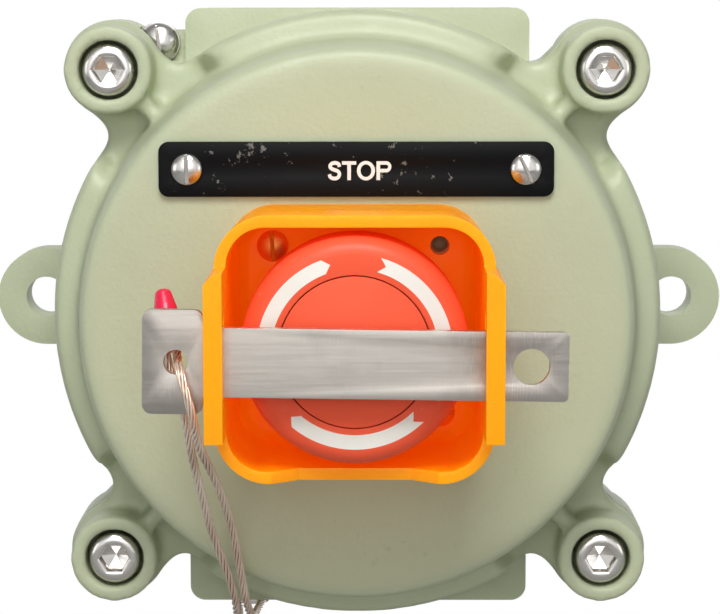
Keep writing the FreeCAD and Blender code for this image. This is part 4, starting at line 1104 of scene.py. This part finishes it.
class STATION_OT_stage(bpy.types.Operator):
    """White studio: camera, lamps, floor and sky"""

    bl_idname = "station.stage"
    bl_label = "Stage"

    def execute(self, context):
        scene, stage = context.scene, context.scene.station_stage
        scene.view_settings.view_transform = "Standard"
        lens = bpy.data.cameras.new("photo_camera")
        lens.lens = stage.lens
        lens.sensor_width = 36.0
        lens.clip_start = 0.01
        camera = bpy.data.objects.new("photo_camera", lens)
        scene.collection.objects.link(camera)
        self.point(camera, stage.camera_place, stage.camera_aim, stage.camera_roll)
        scene.camera = camera
        for name, power, size, place, in_reflections in (
                ("key_light", stage.key_power, 0.3, (0.0, -0.45, 0.5), True),
                ("front_light", stage.front_power, 0.45, (-0.05, -0.8, 0.28), True),
                ("ring_light", stage.ring_power, 0.3, (0.0, -0.62, 0.05), False),
                ("left_light", stage.side_power, 0.34, (-0.66, -0.5, 0.1), True),
                ("right_light", stage.side_power, 0.34, (0.66, -0.5, 0.1), True),
                ("back_light", stage.back_power, 0.5, (0.0, 0.8, 0.3), False)):
            light = bpy.data.lights.new(name, "AREA")
            light.energy = power
            light.size = size
            lamp = bpy.data.objects.new(name, light)
            lamp.visible_glossy = in_reflections
            scene.collection.objects.link(lamp)
            self.point(lamp, place, LAMP_AIM)
        self.sky(scene, stage)
        self.floor(scene)
        return {"FINISHED"}

    def point(self, thing, place, aim, roll=0.0):
        """Puts a camera or a lamp in its place, facing a point."""
        facing = (Vector(aim) - Vector(place)).to_track_quat("-Z", "Y").to_matrix().to_4x4()
        thing.matrix_world = Matrix.Translation(place) @ facing @ Matrix.Rotation(roll, 4, "Z")

    def sky(self, scene, stage):
        """Even light all round. A direct look sees white; a reflection sees white behind the
        station, the pale room in front of it and darker sides."""
        world = bpy.data.worlds.new("white_studio")
        scene.world = world
        world.use_nodes = True
        tree = world.node_tree
        direction = tree.nodes.new("ShaderNodeTexCoord").outputs["Generated"]
        split = tree.nodes.new("ShaderNodeSeparateXYZ")
        tree.links.new(direction, split.inputs["Vector"])
        front = add_band(tree, split.outputs["Y"], -0.5, -0.95)
        behind = add_band(tree, split.outputs["Y"], 0.1, 0.5)
        room = self.blend(tree, front, stage.side_level, stage.room_level)
        room = self.blend(tree, behind, room, 1.0)
        path = tree.nodes.new("ShaderNodeLightPath").outputs
        reflected = self.blend(tree, path["Is Glossy Ray"], stage.sky_level, room)
        direct = add_math(tree, "MAXIMUM", path["Is Camera Ray"], path["Is Transmission Ray"])
        light = tree.nodes["Background"]
        light.inputs["Color"].default_value = (1.0, 1.0, 1.0, 1.0)
        tree.links.new(self.blend(tree, direct, reflected, 1.0), light.inputs["Strength"])

    def blend(self, tree, factor, first, second):
        """A value that goes from one to another by a factor, each a number or a socket."""
        mix = tree.nodes.new("ShaderNodeMix")
        tree.links.new(factor, mix.inputs["Factor"])
        set_or_link(tree, first, mix.inputs["A"])
        set_or_link(tree, second, mix.inputs["B"])
        return mix.outputs["Result"]

    def floor(self, scene):
        """Pale matt floor that holds the shadow below the station. With the distance from it the
        floor grows as white as the sky for a direct look, so no edge shows."""
        side, back, level = 1.2, 0.12, CAD_BOX[0][2] - 0.05
        middle, shadow, least_glow = (0.0, -0.06, level), (0.03, 0.19), 0.5
        outline = ((-side, -side), (side, -side), (side, back), (-side, back))
        corners = [(x, y, level) for x, y in outline]
        mesh = bpy.data.meshes.new("floor")
        mesh.from_pydata(corners, [], [(0, 1, 2, 3)])
        finish = Finish("floor_matt", (0.4, 0.4, 0.39), 0.8, Emission_Strength=1.0)
        skin = finish.effect(skin_group(), Pebble_Scale=200.0, Mottle_Scale=6.0)
        finish.tint(skin["Mottle"], (0.38, 0.38, 0.37), 0.5)
        tree = finish.tree
        path = tree.nodes.new("ShaderNodeLightPath").outputs
        seen = add_math(tree, "MAXIMUM", path["Is Camera Ray"], path["Is Transmission Ray"])
        away = add_vector_math(tree, "DISTANCE", finish.place, middle)["Value"]
        fade = add_math(tree, "MULTIPLY", add_band(tree, away, *shadow), 1 - least_glow)
        glow = add_math(tree, "MULTIPLY", seen, add_math(tree, "ADD", fade, least_glow))
        tree.links.new(glow, finish.shader.inputs["Emission Color"])
        mesh.materials.append(finish.material)
        floor = bpy.data.objects.new("floor", mesh)
        scene.collection.objects.link(floor)


class STATION_PT_sidebar(bpy.types.Panel):
    """Sidebar with the station's steps and values"""

    bl_idname = "STATION_PT_sidebar"
    bl_label = "Stop station"
    bl_space_type = "VIEW_3D"
    bl_region_type = "UI"
    bl_category = "Station"

    def draw(self, context):
        layout, scene = self.layout, context.scene
        for step in STEPS:
            layout.operator(step.bl_idname)
        for group in (scene.station_finish, scene.station_detail, scene.station_stage):
            box = layout.box()
            for name in group.__annotations__:
                box.prop(group, name)


STEPS = (
    STATION_OT_stage, STATION_OT_lanyard, STATION_OT_castings, STATION_OT_cover_screws,
    STATION_OT_slotted_screws, STATION_OT_legend, STATION_OT_guard, STATION_OT_button,
    STATION_OT_lock_bar, STATION_OT_inner_works,
)
GROUPS = {
    "station_finish": StationFinish,
    "station_detail": StationDetail,
    "station_stage": StationStage,
}


def register():
    """Registers the classes and puts their values on the scene."""
    for item in (*GROUPS.values(), *STEPS, STATION_PT_sidebar):
        bpy.utils.register_class(item)
    for name, group in GROUPS.items():
        setattr(bpy.types.Scene, name, PointerProperty(type=group))


def unregister():
    """Takes back what register did."""
    for name in GROUPS:
        delattr(bpy.types.Scene, name)
    for item in reversed((*GROUPS.values(), *STEPS, STATION_PT_sidebar)):
        bpy.utils.unregister_class(item)


def main():
    """Runs every step."""
    register()
    for step in STEPS:
        family, name = step.bl_idname.split(".")
        getattr(getattr(bpy.ops, family), name)()


if __name__ == "__main__":
    main()
